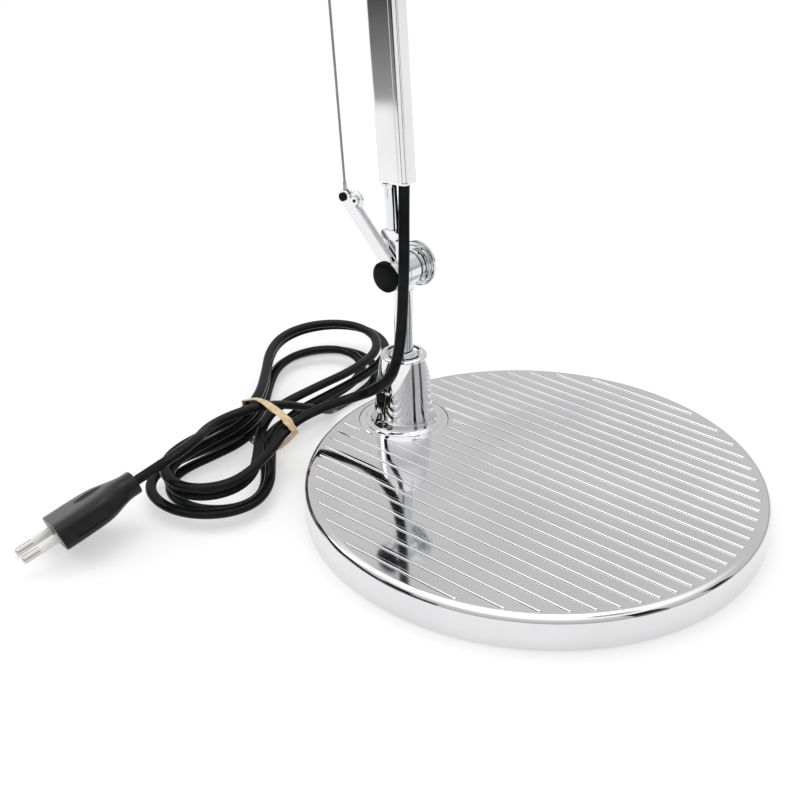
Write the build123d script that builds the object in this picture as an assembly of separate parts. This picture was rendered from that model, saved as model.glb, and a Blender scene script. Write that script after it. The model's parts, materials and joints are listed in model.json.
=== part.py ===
from build123d import *
import math
import os

# Architect lamp on a ribbed round base. Millimetres, +Z up, +X from the post towards the disc centre.
# The origin is the centre of the disc on its underside. The arms move in the XZ plane.

# ---- base disc ----
BASE_R = 115.0
BASE_TOP = 17.3
BASE_EDGE = 4.0
COVER_WALL = 2.4
COVER_TOP = 3.0
COVER_LIFT = 0.8
PAD_R = BASE_R - 7.0
PAD_T = 1.2
RIB_COUNT = 27
RIB_PITCH = 8.08 * BASE_R / 115.0
RIB_W = 2.8
RIB_H = 0.6
RIB_FIELD_R = BASE_R - 5.15
RIB_CLEAR_R = 26.0
BOSS_R = 4.0
BOSS_CIRCLE = BASE_R - 35.0
COVER_SCREW_R = 1.5
SNUG = 0.02

# ---- post and its socket ----
POST_X = 29.5 - BASE_R
FLANGE_R = 24.0
SOCKET_TOP = 57.0
SOCKET_BORE_R = 7.75
BUSH_R = 7.7
BUSH_RECESS = 0.9
BUSH_BOTTOM = 21.5
ROD_R = 5.0
RUN_FIT = 0.05
ROD_TOP = 94.6
NECK_W = 7.6
CLIP_R = 6.5
CLIP_T = 0.9
SOCKET_SCREW_R = 2.5
SOCKET_SCREW_CIRCLE = 19.0

# ---- tilt joints, measured along Y from the middle of the post ----
HUB_Z = 104.0
HUB_R = 8.5
HUB_HALF = 3.8
PIN_R = 3.0
LOWER_Y0 = -9.0
LOWER_Y1 = -4.5
UPPER_Y0 = -3.8
UPPER_Y1 = 0.7
PLATE_Y0 = -13.6
PLATE_Y1 = -9.7
PLATE_T = 1.1
PLATE_BOSS_R = 8.0
HEAD_BOLT_R = 5.5
HEAD_BOLT_Y = -14.9
CAP_R = 8.0
CAP_Y = -16.0
KNOB_R = 12.0
KNOB_BORE = 4.6

# ---- parallel linkage ----
LOWER_LEN = 450.0
UPPER_LEN = 470.0
LOWER_REST = -4.5
UPPER_REST = 62.0
PIN_A = (-28.0, 35.5)
PIN_B = (-14.0, 44.0)
LINK_PIN_R = 1.3
EYE_R = 2.5
CABLE_R = 0.7
WHEEL_AT = (-20.6, 34.9)
WHEEL_R = 4.5
AXLE_R = 0.8

# ---- arms ----
PROFILE_X = 18.0
PROFILE_Y = 10.0
PROFILE_WALL = 1.3
PROFILE_CORNER = 2.2
PROFILE_SHIFT = 3.6
PROFILE_START = 48.0
PROFILE_END_GAP = 42.0
ARM_ROD_R = 2.8
SPIGOT_R = 2.0
ROD_TIP_R = 1.2
FOOT_Z0 = 46.5
ROD_Z0 = 23.0
COLLAR_R = 3.75
SPRING_R = 3.2
ANCHOR_R = 1.2

# ---- head ----
TILT_DX = 26.0
TILT_DZ = -6.0
STEM_Y0 = -9.0
STEM_Y1 = -2.0
STEM_R = 4.0
HOUSING_R = 24.0
HOUSING_TOP = -30.0
HOUSING_LEN = 62.0
HOUSING_WALL = 2.0
SHADE_NECK_R = 31.0
SHADE_RIM_R = 90.0
SHADE_TOP = -86.0
SHADE_RIM_Z = -215.0
SHADE_WALL = 1.2
BULB_R = 30.0
BUTTON_R = 4.5

# ---- flex, rubber band and plug ----
FLEX_R = 2.6
BAND_T = 0.7
BAND_W = 6.0
BAND_AT = (-7.0, -4.0)
BAND_SLANT = 30.7
PLUG_FACE = (POST_X - 61.2, -182.0, 11.3)
PLUG_AXIS = (-0.227, -0.933, -0.30)
PLUG_WIDE = (0.876, -0.329, 0.36)
PLUG_W = 35.3
PLUG_T = 13.7
PLUG_LEN = 35.0
PIN_SPACING = 19.0
PLUG_PIN_R = 2.0
PLUG_PIN_LEN = 19.0

# ---- hank of flex: loops over a waist, one layer on the other ----
HANK_AT = (POST_X - 61.5, -47.0)
HANK_TURN = 109.3
HANK_LOBES = [(82, 22), (128, 31), (80, 21), (137, 34), (87, 30), (112, 25), (74, 25), (124, 31)]
HANK_FIRST = 0.12
HANK_LAST = 3.915
HANK_PITCH = 5.75
HANK_LAYERS = 3
HANK_WAIST = 3.3
HANK_STEP = 6.0
HANK_Z = 2.65
HANK_LIFT = 1.4
HANK_CLIMB = 0.36
HANK_ROUND = 0.563

HUB = (POST_X, 0.0, HUB_Z)


def along(pivot, angle, length):
    turn = math.radians(angle)
    return (pivot[0] + length * math.sin(turn), pivot[1], pivot[2] + length * math.cos(turn))


ELBOW = along(HUB, LOWER_REST, LOWER_LEN)
WRIST = along(ELBOW, UPPER_REST, UPPER_LEN)
TILT = (WRIST[0] + TILT_DX, 0.0, WRIST[2] + TILT_DZ)


# ---- helpers ----
def prism(sketch, y0, y1):
    # A sketch drawn with x as X and y as Z, made solid from y0 to y1.
    return extrude(Plane.XZ.offset(-y1) * sketch, y1 - y0)


def disc(radius, y0, y1, at=(0.0, 0.0)):
    return prism(Pos(at[0], at[1]) * Circle(radius), y0, y1)


def upright(radius, z0, z1, at=(0.0, 0.0)):
    return Pos(at[0], at[1], (z0 + z1) / 2) * Cylinder(radius, z1 - z0)


def block(x0, x1, y0, y1, z0, z1):
    size = Box(x1 - x0, y1 - y0, z1 - z0)
    return Pos((x0 + x1) / 2, (y0 + y1) / 2, (z0 + z1) / 2) * size


def spun(outline):
    # An outline of (radius, height) pairs turned about the Z axis.
    face = make_face(Polyline(*[(r, 0, z) for r, z in outline], close=True))
    return revolve(face, Axis.Z)


def spun_curves(curves):
    # Curves in the XZ plane that close on each other, turned about the Z axis.
    edges = [edge for curve in curves for edge in curve.edges()]
    return revolve(make_face(edges), Axis.Z)


def placed(pivot, angle, shape):
    return Pos(*pivot) * Rot(0, angle, 0) * shape


# ---- base ----
def make_cover():
    outer = upright(BASE_R, COVER_LIFT, BASE_TOP)
    outer = fillet(outer.edges().sort_by(Axis.Z)[-1], BASE_EDGE)
    inner = upright(BASE_R - COVER_WALL, COVER_LIFT, BASE_TOP - COVER_TOP)
    cover = outer - inner
    cover += make_ribs()
    for x, y in boss_places():
        boss = upright(BOSS_R, 6.0, BASE_TOP - COVER_TOP, (x, y))
        cover += boss - upright(COVER_SCREW_R + SNUG, 6.0, 13.0, (x, y))
    cover -= upright(FLANGE_R + 0.2, COVER_LIFT, BASE_TOP + 2, (POST_X, 0))
    return cover


def boss_places():
    turns = [0, 125, 235]
    return [(BOSS_CIRCLE * math.cos(math.radians(t)), BOSS_CIRCLE * math.sin(math.radians(t))) for t in turns]


def rib_spans(y):
    reach = math.sqrt(RIB_FIELD_R ** 2 - y * y)
    if abs(y) >= RIB_CLEAR_R + RIB_W / 2:
        return [(-reach, reach)]
    gap = math.sqrt(max(RIB_CLEAR_R ** 2 - y * y, 0.0))
    spans = [(POST_X + gap, reach)]
    if POST_X - gap + reach > 3 * RIB_W:
        spans.append((-reach, POST_X - gap))
    return spans


def make_ribs():
    ribs = []
    for i in range(RIB_COUNT):
        y = (i - (RIB_COUNT - 1) / 2) * RIB_PITCH
        for x0, x1 in rib_spans(y):
            slot = SlotOverall(x1 - x0, RIB_W)
            low = Plane.XY.offset(BASE_TOP - 0.3) * Pos((x0 + x1) / 2, y) * slot
            rib = extrude(low, 0.3 + RIB_H)
            rib = chamfer(rib.edges().group_by(Axis.Z)[-1], RIB_H / 2)
            ribs.append(rib)
    return ribs


def make_ballast():
    plate = upright(BASE_R - COVER_WALL - 0.2, PAD_T, BASE_TOP - COVER_TOP)
    for x, y in boss_places():
        plate -= upright(BOSS_R + 0.1, 6.0, BASE_TOP, (x, y))
        plate -= upright(COVER_SCREW_R + 0.1, 0, 7.0, (x, y))
        plate -= upright(COVER_SCREW_R * 2 + 0.1, 0, 3.4, (x, y))
    for x, y in socket_screw_places():
        plate -= upright(SOCKET_SCREW_R + 0.1, 0, BASE_TOP, (x, y))
        plate -= upright(SOCKET_SCREW_R * 1.8 + 0.1, 0, 5.4, (x, y))
    return plate


def make_cover_screws():
    screws = []
    for x, y in boss_places():
        screw = upright(COVER_SCREW_R, 3.3, 12.5, (x, y))
        screw += upright(COVER_SCREW_R * 2, 1.4, 3.4, (x, y))
        screws.append(screw)
    return screws


def socket_screw_places():
    turns = [30, 150, 270]
    r = SOCKET_SCREW_CIRCLE
    return [(POST_X + r * math.cos(math.radians(t)), r * math.sin(math.radians(t))) for t in turns]


def make_socket():
    seat = BASE_TOP - COVER_TOP
    left = [(SOCKET_BORE_R, seat), (FLANGE_R, seat), (FLANGE_R, BASE_TOP), (20.6, BASE_TOP), (20.4, 17.9)]
    left += [(17.6, 18.2), (17.2, 19.0)]
    flare = [(16.2, 22.2), (15.5, 27.0), (14.9, 33.0), (14.35, 40.0), (13.4, 48.0), (12.4, SOCKET_TOP - 1.6)]
    edges = [Polyline(*[(r, 0, z) for r, z in left])]
    edges.append(Spline(*[(r, 0, z) for r, z in [left[-1]] + flare]))
    lip = [(12.4, 0, SOCKET_TOP - 1.6), (11.93, 0, SOCKET_TOP - 0.47), (10.8, 0, SOCKET_TOP)]
    edges.append(ThreePointArc(*lip))
    close = [(10.8, SOCKET_TOP), (SOCKET_BORE_R, SOCKET_TOP), (SOCKET_BORE_R, seat)]
    edges.append(Polyline(*[(r, 0, z) for r, z in close]))
    body = Pos(POST_X, 0, 0) * spun_curves(edges)
    for x, y in socket_screw_places():
        body -= upright(SOCKET_SCREW_R + SNUG, seat, 16.4, (x, y))
    return body


def make_socket_screws():
    screws = []
    for x, y in socket_screw_places():
        screw = upright(SOCKET_SCREW_R, 5.2, 16.2, (x, y))
        screw += upright(SOCKET_SCREW_R * 1.8, 2.4, 5.3, (x, y))
        screws.append(screw)
    return screws


def make_bush():
    top = SOCKET_TOP - BUSH_RECESS
    bush = upright(BUSH_R, BUSH_BOTTOM, top, (POST_X, 0))
    bush = chamfer(bush.edges().sort_by(Axis.Z)[-1], 0.5)
    return bush - upright(ROD_R + RUN_FIT, BUSH_BOTTOM, top, (POST_X, 0))


# ---- swivel on the post ----
def make_post():
    foot = BASE_TOP - COVER_TOP + 0.1
    rod = upright(ROD_R, foot, ROD_TOP)
    rod = chamfer(rod.edges().sort_by(Axis.Z)[-1], 0.9)
    groove = upright(ROD_R + 1, BUSH_BOTTOM - 1.15, BUSH_BOTTOM - 0.15)
    groove -= upright(ROD_R - 0.7, BUSH_BOTTOM - 1.2, BUSH_BOTTOM - 0.1)
    neck = block(-4.6, 4.6, -NECK_W / 2, NECK_W / 2, ROD_TOP - 1.5, HUB_Z - 2)
    hub = Pos(0, 0, HUB_Z) * disc(HUB_R, -HUB_HALF, HUB_HALF)
    post = rod - groove + neck + hub
    post -= Pos(0, 0, HUB_Z) * disc(PIN_R + SNUG, -HUB_HALF, HUB_HALF)
    return Pos(POST_X, 0, 0) * post


def make_post_clip():
    z1 = BUSH_BOTTOM - 0.2
    ring = upright(CLIP_R, z1 - CLIP_T, z1) - upright(ROD_R - 0.65, z1 - CLIP_T, z1)
    ring -= block(0, CLIP_R + 1, -2.5, 2.5, z1 - CLIP_T, z1)
    return Pos(POST_X, 0, 0) * ring


def make_bolt(y_end):
    # The bolt ends where the bore of its knob or nut does.
    bolt = disc(PIN_R, HEAD_BOLT_Y + 0.5, y_end)
    return bolt + disc(HEAD_BOLT_R, HEAD_BOLT_Y, PLATE_Y0 - 0.05)


def make_cap():
    cap = disc(CAP_R, CAP_Y, PLATE_Y0 - 0.05)
    cap = fillet(cap.edges().sort_by(Axis.Y)[0], 1.0)
    return cap - disc(HEAD_BOLT_R + 0.15, HEAD_BOLT_Y - 0.05, PLATE_Y0)


def make_washer(radius, y0, y1):
    return disc(radius, y0, y1) - disc(PIN_R + 0.05, y0, y1)


def make_horn():
    dx = PIN_A[0]
    dz = PIN_A[1]
    start_z = dz + dx
    span = math.hypot(dx, dz - start_z)
    bar = Pos(dx / 2, (dz + start_z) / 2) * Rot(0, 0, 135) * SlotCenterToCenter(span, 6.8)
    ear = Pos(*WHEEL_AT) * Circle(2.2)
    link_mid = ((WHEEL_AT[0] - 24.0) / 2, (WHEEL_AT[1] + 31.5) / 2)
    ear += Pos(*link_mid) * Rot(0, 0, 45) * Rectangle(5.5, 4.4)
    outline = Circle(PLATE_BOSS_R) + bar + ear
    return make_fork(outline, [PIN_A], [WHEEL_AT], [(0.0, 0.0)])


def make_fork(outline, pins, axles, bosses):
    # Two thin plates joined by solid round bosses, drilled for the pins.
    fork = prism(outline, PLATE_Y0, PLATE_Y0 + PLATE_T)
    fork += prism(outline, PLATE_Y1 - PLATE_T, PLATE_Y1)
    for at in bosses:
        fork += disc(PLATE_BOSS_R, PLATE_Y0, PLATE_Y1, at)
    for at in bosses:
        fork -= disc(PIN_R + SNUG, PLATE_Y0, PLATE_Y1, at)
    for at in pins:
        fork -= disc(LINK_PIN_R + SNUG, PLATE_Y0, PLATE_Y1, at)
    for at in axles:
        fork -= disc(AXLE_R + SNUG, PLATE_Y0, PLATE_Y1, at)
    return fork


def make_link_pin(at):
    pin = disc(LINK_PIN_R, PLATE_Y0 - 0.3, PLATE_Y1 + 0.3, at)
    return pin + disc(LINK_PIN_R + 0.9, PLATE_Y0 - 0.8, PLATE_Y0, at)


def make_cable(length):
    # Drawn upright from its lower pin at the origin. The eyes fit between the fork plates.
    eye_y0 = PLATE_Y0 + PLATE_T + 0.1
    eye_y1 = PLATE_Y1 - PLATE_T - 0.1
    middle = (PLATE_Y0 + PLATE_Y1) / 2
    cable = upright(CABLE_R, 2.0, length - 2.0, (0, middle))
    for z in (0.0, length):
        cable += disc(EYE_R, eye_y0, eye_y1, (0, z))
    for z in (0.0, length):
        cable -= disc(LINK_PIN_R + RUN_FIT, eye_y0, eye_y1, (0, z))
    return cable


def make_wheel():
    y0 = PLATE_Y0 + PLATE_T + 0.1
    y1 = PLATE_Y1 - PLATE_T - 0.1
    wheel = disc(WHEEL_R, y0, y1, WHEEL_AT)
    wheel = chamfer(wheel.edges(), 0.3)
    return wheel - disc(AXLE_R + RUN_FIT, y0, y1, WHEEL_AT)


def make_axle():
    return disc(AXLE_R, PLATE_Y0 - 0.3, PLATE_Y1 + 0.2, WHEEL_AT)


def make_disc_spring(y0):
    return make_washer(6.5, y0, y0 + 1.1)


def make_base_washers():
    rings = [make_washer(HUB_R, LOWER_Y1 + 0.05, -HUB_HALF - 0.05)]
    rings.append(make_washer(HUB_R, PLATE_Y1 + 0.05, LOWER_Y0 - 0.05))
    rings.append(make_disc_spring(HUB_HALF + 0.05))
    rings.append(make_washer(HUB_R, HUB_HALF + 1.25, HUB_HALF + 2.45))
    return Compound(rings)


def make_elbow_washers():
    rings = [make_washer(HUB_R, PLATE_Y1 + 0.05, LOWER_Y0 - 0.05)]
    rings.append(make_washer(HUB_R, LOWER_Y1 + 0.05, UPPER_Y0 - 0.05))
    rings.append(make_disc_spring(UPPER_Y1 + 0.05))
    rings.append(make_washer(HUB_R, UPPER_Y1 + 1.2, UPPER_Y1 + 2.4))
    return Compound(rings)


def make_plate_washers():
    tilt = Pos(TILT_DX, 0, TILT_DZ)
    rings = [make_washer(HUB_R - 2, PLATE_Y1 + 0.05, UPPER_Y0 - 0.05)]
    rings.append(make_washer(HUB_R, UPPER_Y1 + 0.05, UPPER_Y1 + 1.2))
    rings.append(tilt * make_washer(HUB_R, PLATE_Y1 + 0.05, STEM_Y0 - 0.05))
    rings.append(tilt * make_washer(HUB_R, STEM_Y1 + 0.05, STEM_Y1 + 1.2))
    return Compound(rings)


def make_plate_bolts():
    tilt = Pos(TILT_DX, 0, TILT_DZ) * make_bolt(STEM_Y1 + 1.25 + KNOB_BORE - 0.1)
    return Compound([make_bolt(UPPER_Y1 + 4.65), make_wrist_nut(), tilt])


def make_wrist_nut():
    y0 = UPPER_Y1 + 1.25
    nut = prism(RegularPolygon(6.2, 6), y0, y0 + 3.4)
    return nut - disc(PIN_R, y0, y0 + 3.4)


def make_knob(y0):
    rings = [(8.5, 0.0, 1.0), (7.0, 1.0, 1.8), (10.2, 1.7, 3.1), (9.4, 3.0, 3.7), (KNOB_R, 3.6, 5.9)]
    knob = disc(*ring_at(rings[0], y0))
    for ring in rings[1:]:
        knob += disc(*ring_at(ring, y0))
    knob = chamfer(knob.edges().sort_by(Axis.Y)[-1], 0.5)
    return knob - disc(PIN_R + RUN_FIT, y0, y0 + KNOB_BORE)


def ring_at(ring, y0):
    return ring[0], y0 + ring[1], y0 + ring[2]


# ---- arms, each drawn upright from its lower pivot ----
def profile_solid(x_mid, y_mid, z0, z1, shrink):
    wide = PROFILE_X - 2 * shrink
    deep = PROFILE_Y - 2 * shrink
    corner = max(PROFILE_CORNER - shrink, 0.6)
    sketch = Plane.XY.offset(z0) * Pos(x_mid, y_mid) * RectangleRounded(wide, deep, corner)
    return extrude(sketch, z1 - z0)


def make_profile(length, y_mid, anchors):
    z1 = length - PROFILE_END_GAP
    tube = profile_solid(PROFILE_SHIFT, y_mid, PROFILE_START, z1, 0)
    tube -= profile_solid(PROFILE_SHIFT, y_mid, PROFILE_START, z1, PROFILE_WALL)
    x_line = PROFILE_SHIFT + PROFILE_X / 2 - 3.0
    face = y_mid - PROFILE_Y / 2
    tube -= block(x_line, x_line + 0.6, face - 1, face + 0.4, PROFILE_START, z1)
    for z in anchors:
        hole = disc(ANCHOR_R + SNUG, y_mid - PROFILE_Y, y_mid + PROFILE_Y, (PROFILE_SHIFT, z))
        tube -= hole
    return tube


def make_foot(y0, y1):
    # The knuckle with its stub and the flat rim that holds the arm rod.
    rod_y = (y0 + y1) / 2 + 0.25
    foot = disc(HUB_R, y0, y1)
    foot += block(-3.5, 3.5, y0, y1, 6.0, 21.5)
    rim = block(-5.0, 5.0, rod_y - 3.05, rod_y + 3.05, 18.0, ROD_Z0)
    rim = fillet(rim.edges().filter_by(Axis.Y), 1.6)
    foot += rim
    foot -= disc(PIN_R + RUN_FIT, y0 - 1, y1 + 1)
    return foot - upright(SPIGOT_R + SNUG, 17.0, ROD_Z0, (0, rod_y))


def make_rod(y0, y1):
    rod_y = (y0 + y1) / 2 + 0.25
    rod = upright(ARM_ROD_R, ROD_Z0, FOOT_Z0, (0, rod_y))
    rod += upright(SPIGOT_R, 17.2, ROD_Z0, (0, rod_y))
    rod += upright(ROD_TIP_R, FOOT_Z0, FOOT_Z0 + 10, (0, rod_y))
    return rod + upright(COLLAR_R, FOOT_Z0 - 2, FOOT_Z0, (0, rod_y))


def make_foot_block(y0, y1, y_mid):
    rod_y = (y0 + y1) / 2 + 0.25
    plug = profile_solid(PROFILE_SHIFT, y_mid, PROFILE_START, 60.0, PROFILE_WALL + 0.05)
    plug += profile_solid(PROFILE_SHIFT, y_mid, FOOT_Z0, PROFILE_START, 0.1)
    plug -= upright(ROD_TIP_R + SNUG, FOOT_Z0, FOOT_Z0 + 10, (0, rod_y))
    return plug - upright(FLEX_R + 0.25, FOOT_Z0, 60.0, (PROFILE_SHIFT + 4.3, y_mid))


def make_top(length, y0, y1, y_mid):
    z1 = length - PROFILE_END_GAP
    top = profile_solid(PROFILE_SHIFT, y_mid, z1 - 14, z1, PROFILE_WALL + 0.05)
    top += profile_solid(PROFILE_SHIFT, y_mid, z1, z1 + 2, 0.1)
    top -= upright(FLEX_R + 0.25, z1 - 14, z1 + 2, (PROFILE_SHIFT + 4.3, y_mid))
    top += block(-3.5, 3.5, y0, y1, z1 + 1, length - 6)
    top += disc(HUB_R, y0, y1, (0, length))
    return top - disc(PIN_R + RUN_FIT, y0 - 1, y1 + 1, (0, length))


def make_ends(length, y0, y1, y_mid):
    return Compound([make_foot_block(y0, y1, y_mid), make_top(length, y0, y1, y_mid)])


def spring_anchors(length):
    return PROFILE_START + 20, length - PROFILE_END_GAP - 58


def make_arm_spring(y_mid, anchors):
    z0 = anchors[0] - 4
    z1 = anchors[1] + 4
    coil = upright(SPRING_R, z0, z1, (PROFILE_SHIFT, y_mid))
    coil -= upright(SPRING_R - 0.9, z0, z1, (PROFILE_SHIFT, y_mid))
    for z in anchors:
        coil -= disc(ANCHOR_R + SNUG, y_mid - 4, y_mid + 4, (PROFILE_SHIFT, z))
    return coil


def make_anchors(y_mid, anchors):
    return [disc(ANCHOR_R, y_mid - 4.9, y_mid + 4.9, (PROFILE_SHIFT, z)) for z in anchors]


def make_sleeve(y0, y1):
    rod_y = (y0 + y1) / 2 + 0.25
    return upright(0.7, ROD_Z0, FOOT_Z0, (4.9, rod_y - 1.4))


# ---- elbow and head plates ----
def make_elbow_plate():
    circles = Circle(PLATE_BOSS_R) + Pos(*PIN_A) * Circle(3.5) + Pos(*PIN_B) * Circle(3.5)
    return make_fork(make_hull(circles.edges()), [PIN_A, PIN_B], [], [(0.0, 0.0)])


def make_head_plate():
    tilt = (TILT_DX, TILT_DZ)
    circles = Circle(PLATE_BOSS_R) + Pos(*PIN_B) * Circle(3.5) + Pos(*tilt) * Circle(PLATE_BOSS_R)
    return make_fork(make_hull(circles.edges()), [PIN_B], [], [(0.0, 0.0), tilt])


# ---- head, drawn from the tilt axis ----
def make_stem():
    middle = (STEM_Y0 + STEM_Y1) / 2
    stem = disc(HUB_R, STEM_Y0, STEM_Y1)
    stem += block(-4.0, 4.0, STEM_Y0, STEM_Y1, -23.0, -5.0)
    rod = upright(STEM_R, -37.5, -22.0, (0, middle))
    stem += rod
    stem += upright(6.5, HOUSING_TOP + 0.3, -23.0, (0, middle))
    groove = upright(STEM_R + 1, -34.1, -33.0, (0, middle))
    groove -= upright(STEM_R - 0.6, -34.2, -32.9, (0, middle))
    return stem - groove - disc(PIN_R + RUN_FIT, STEM_Y0, STEM_Y1)


def make_stem_clip():
    middle = (STEM_Y0 + STEM_Y1) / 2
    ring = upright(7.0, -34.0, -33.1, (0, middle)) - upright(STEM_R - 0.55, -34.0, -33.1, (0, middle))
    return ring - block(0, 8, middle - 2, middle + 2, -34.0, -33.1)


def make_housing():
    low = HOUSING_TOP - HOUSING_LEN
    body = upright(HOUSING_R, low, HOUSING_TOP)
    body = fillet(body.edges().sort_by(Axis.Z)[-1], 5.0)
    hollow = upright(HOUSING_R - HOUSING_WALL, low, HOUSING_TOP - 2.8)
    body -= hollow
    body -= upright(STEM_R + RUN_FIT, HOUSING_TOP - 4, HOUSING_TOP)
    body -= upright(BUTTON_R + 0.1, HOUSING_TOP - 4, HOUSING_TOP, (0, -14.0))
    return body


def make_button():
    button = upright(BUTTON_R, HOUSING_TOP - 6.0, HOUSING_TOP + 4.0, (0, -14.0))
    button = fillet(button.edges().sort_by(Axis.Z)[-1], 1.2)
    return button + upright(BUTTON_R + 1.2, HOUSING_TOP - 6.0, HOUSING_TOP - 4.9, (0, -14.0))


def make_switch():
    body = upright(9.0, HOUSING_TOP - 24, HOUSING_TOP - 9.2, (0, -11.0))
    arm = block(-4, 4, -HOUSING_R + HOUSING_WALL + 0.5, -17.0, HOUSING_TOP - 20, HOUSING_TOP - 12)
    return body + arm


def make_shade():
    outer = [(HOUSING_R + 0.05, SHADE_TOP), (SHADE_NECK_R - 2, SHADE_TOP), (SHADE_NECK_R, SHADE_TOP - 2)]
    outer += [(SHADE_RIM_R - 1.2, SHADE_RIM_Z + 2.0), (SHADE_RIM_R, SHADE_RIM_Z + 1.4)]
    inner = [(SHADE_RIM_R, SHADE_RIM_Z), (SHADE_RIM_R - 2.2, SHADE_RIM_Z)]
    inner += [(SHADE_NECK_R - 1.3, SHADE_TOP - 3), (SHADE_NECK_R - 2.4, SHADE_TOP - 1.6)]
    inner += [(HOUSING_R + 1.4, SHADE_TOP - 1.6), (HOUSING_R + 1.4, SHADE_TOP - 7.6)]
    inner += [(HOUSING_R + 0.05, SHADE_TOP - 7.6)]
    return spun(outer + inner)


def make_lampholder():
    low = HOUSING_TOP - HOUSING_LEN
    holder = upright(HOUSING_R - HOUSING_WALL - 0.05, low + 1.0, low + 7.0)
    holder += upright(18.5, low - 26.0, low + 16.0)
    return holder - upright(13.5, low - 26.0, low + 11.0)


def make_contact():
    low = HOUSING_TOP - HOUSING_LEN
    return upright(4.0, low + 8.4, low + 11.0)


def make_bulb_cap():
    low = HOUSING_TOP - HOUSING_LEN
    cap = upright(13.1, low - 20.0, low + 5.0)
    return cap + upright(5.0, low + 5.0, low + 8.4)


def make_bulb_glass():
    low = HOUSING_TOP - HOUSING_LEN
    ball = low - 62.0
    drop = math.sqrt(BULB_R ** 2 - 20.0 ** 2)
    neck = [(0.0, low - 20.0), (13.1, low - 20.0), (13.1, low - 27.0), (20.0, ball + drop), (0.0, ball + drop)]
    glass = spun(neck) + Pos(0, 0, ball) * Sphere(BULB_R)
    return glass - Pos(0, 0, ball) * Sphere(BULB_R - 1.2)


# ---- flex ----
def hank_smooth(x):
    x = min(max(x, 0.0), 1.0)
    return x * x * (3 - 2 * x)


def hank_level(t):
    drops = [hank_smooth((t - c) / HANK_CLIMB + 0.5) for c in range(1, HANK_LAYERS + 1)]
    return HANK_LAYERS - sum(drops)


def hank_point(t):
    # The middle of the flex at turn t. Each whole turn is one lobe below and one above the waist.
    lobe = min(int(t * 2), len(HANK_LOBES) - 1)
    s = t * 2 - lobe
    length, width = HANK_LOBES[lobe]
    side = -1 if lobe % 2 == 0 else 1
    x = math.sin(math.pi * s)
    u = side * length * x
    w = HANK_WAIST + HANK_STEP * (1 - abs(((t + 1) % 2) - 1))
    v = side * math.cos(math.pi * s) * (w + (width / HANK_ROUND - w) * hank_smooth(x))
    z = HANK_Z + HANK_PITCH * hank_level(t) + HANK_LIFT * math.exp(-(u / 22) ** 2)
    turn = math.radians(HANK_TURN)
    cx = math.cos(turn)
    sx = math.sin(turn)
    return Vector(HANK_AT[0] + cx * u - sx * v, HANK_AT[1] + sx * u + cx * v, z)


def hank_heading(t):
    step = 1e-4
    return (hank_point(t + step) - hank_point(t - step)).normalized()


def biarc(p0, t0, p1, t1):
    v = p1 - p0
    t = t0 + t1
    gap = 2 * (1 - t0.dot(t1))
    vt = v.dot(t)
    if gap < 1e-9:
        d = v.dot(v) / (4 * v.dot(t1))
    else:
        d = (-vt + math.sqrt(vt * vt + gap * v.dot(v))) / gap
    joint = (p0 + p1 + (t0 - t1) * d) * 0.5
    first = TangentArc(p0, joint, tangent=t0)
    return [first, TangentArc(joint, p1, tangent=first % 1)]


def hank_times():
    turns = [HANK_FIRST]
    for i in range(1, 8 * HANK_LAYERS + 8):
        for t in (i / 8.0,):
            if HANK_FIRST + 0.02 < t < HANK_LAST - 0.02:
                turns.append(t)
    for c in range(1, HANK_LAYERS + 1):
        turns += [c - 0.06, c + 0.06]
    turns.append(HANK_LAST)
    return sorted(turns)


def hank_ends():
    # Both ends run straight for one diameter.
    start = hank_point(HANK_FIRST) - hank_heading(HANK_FIRST) * (2 * FLEX_R)
    return start, hank_point(HANK_LAST) + hank_heading(HANK_LAST) * (2 * FLEX_R)


def make_hank():
    times = hank_times()
    start, finish = hank_ends()
    edges = [Line(start, hank_point(times[0]))]
    for t, u in zip(times, times[1:]):
        edges += biarc(hank_point(t), hank_heading(t), hank_point(u), hank_heading(u))
    edges.append(Line(hank_point(times[-1]), finish))
    path = Wire([edge for curve in edges for edge in curve.edges()])
    section = Plane(origin=start, z_dir=hank_heading(times[0])) * Circle(FLEX_R)
    tube = sweep(section, path=path)
    print("hank length", round(path.length, 1), "volume ratio", ratio(tube, path.length, FLEX_R))
    print("hank gap to itself", round(gap_to_itself(path), 2))
    return tube


def gap_to_itself(path):
    # The least gap between stretches of the tube that are more than 25 mm apart along it.
    count = int(path.length / 2.5)
    spots = [path @ (i / count) for i in range(count + 1)]
    spots = [(p.X, p.Y, p.Z) for p in spots]
    least = min(math.dist(p, q) for i, p in enumerate(spots) for q in spots[i + 10:])
    return least - 2 * FLEX_R


def ratio(tube, length, radius):
    return round(tube.volume / (math.pi * radius ** 2 * length), 4)


def make_run(points, radius, name):
    # Straight runs joined by arcs. Each arc takes 0.45 of its shorter neighbour.
    spots = [Vector(*p) for p in points]
    radii = []
    for a, b, c in zip(spots, spots[1:], spots[2:]):
        half = math.radians((b - a).get_angle(c - b)) / 2
        radii.append(0.45 * min((b - a).length, (c - b).length) / math.tan(half))
    path = FilletPolyline(*spots, radius=radii)
    section = Plane(origin=spots[0], z_dir=spots[1] - spots[0]) * Circle(radius)
    tube = sweep(section, path=path)
    print(name, "radii", [round(r, 1) for r in radii], "length", round(path.length, 1))
    print(name, "volume ratio", ratio(tube, path.length, radius))
    return tube


def hank_uv(u, v, z):
    turn = math.radians(HANK_TURN)
    x = HANK_AT[0] + math.cos(turn) * u - math.sin(turn) * v
    return (x, HANK_AT[1] + math.sin(turn) * u + math.cos(turn) * v, z)


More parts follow.
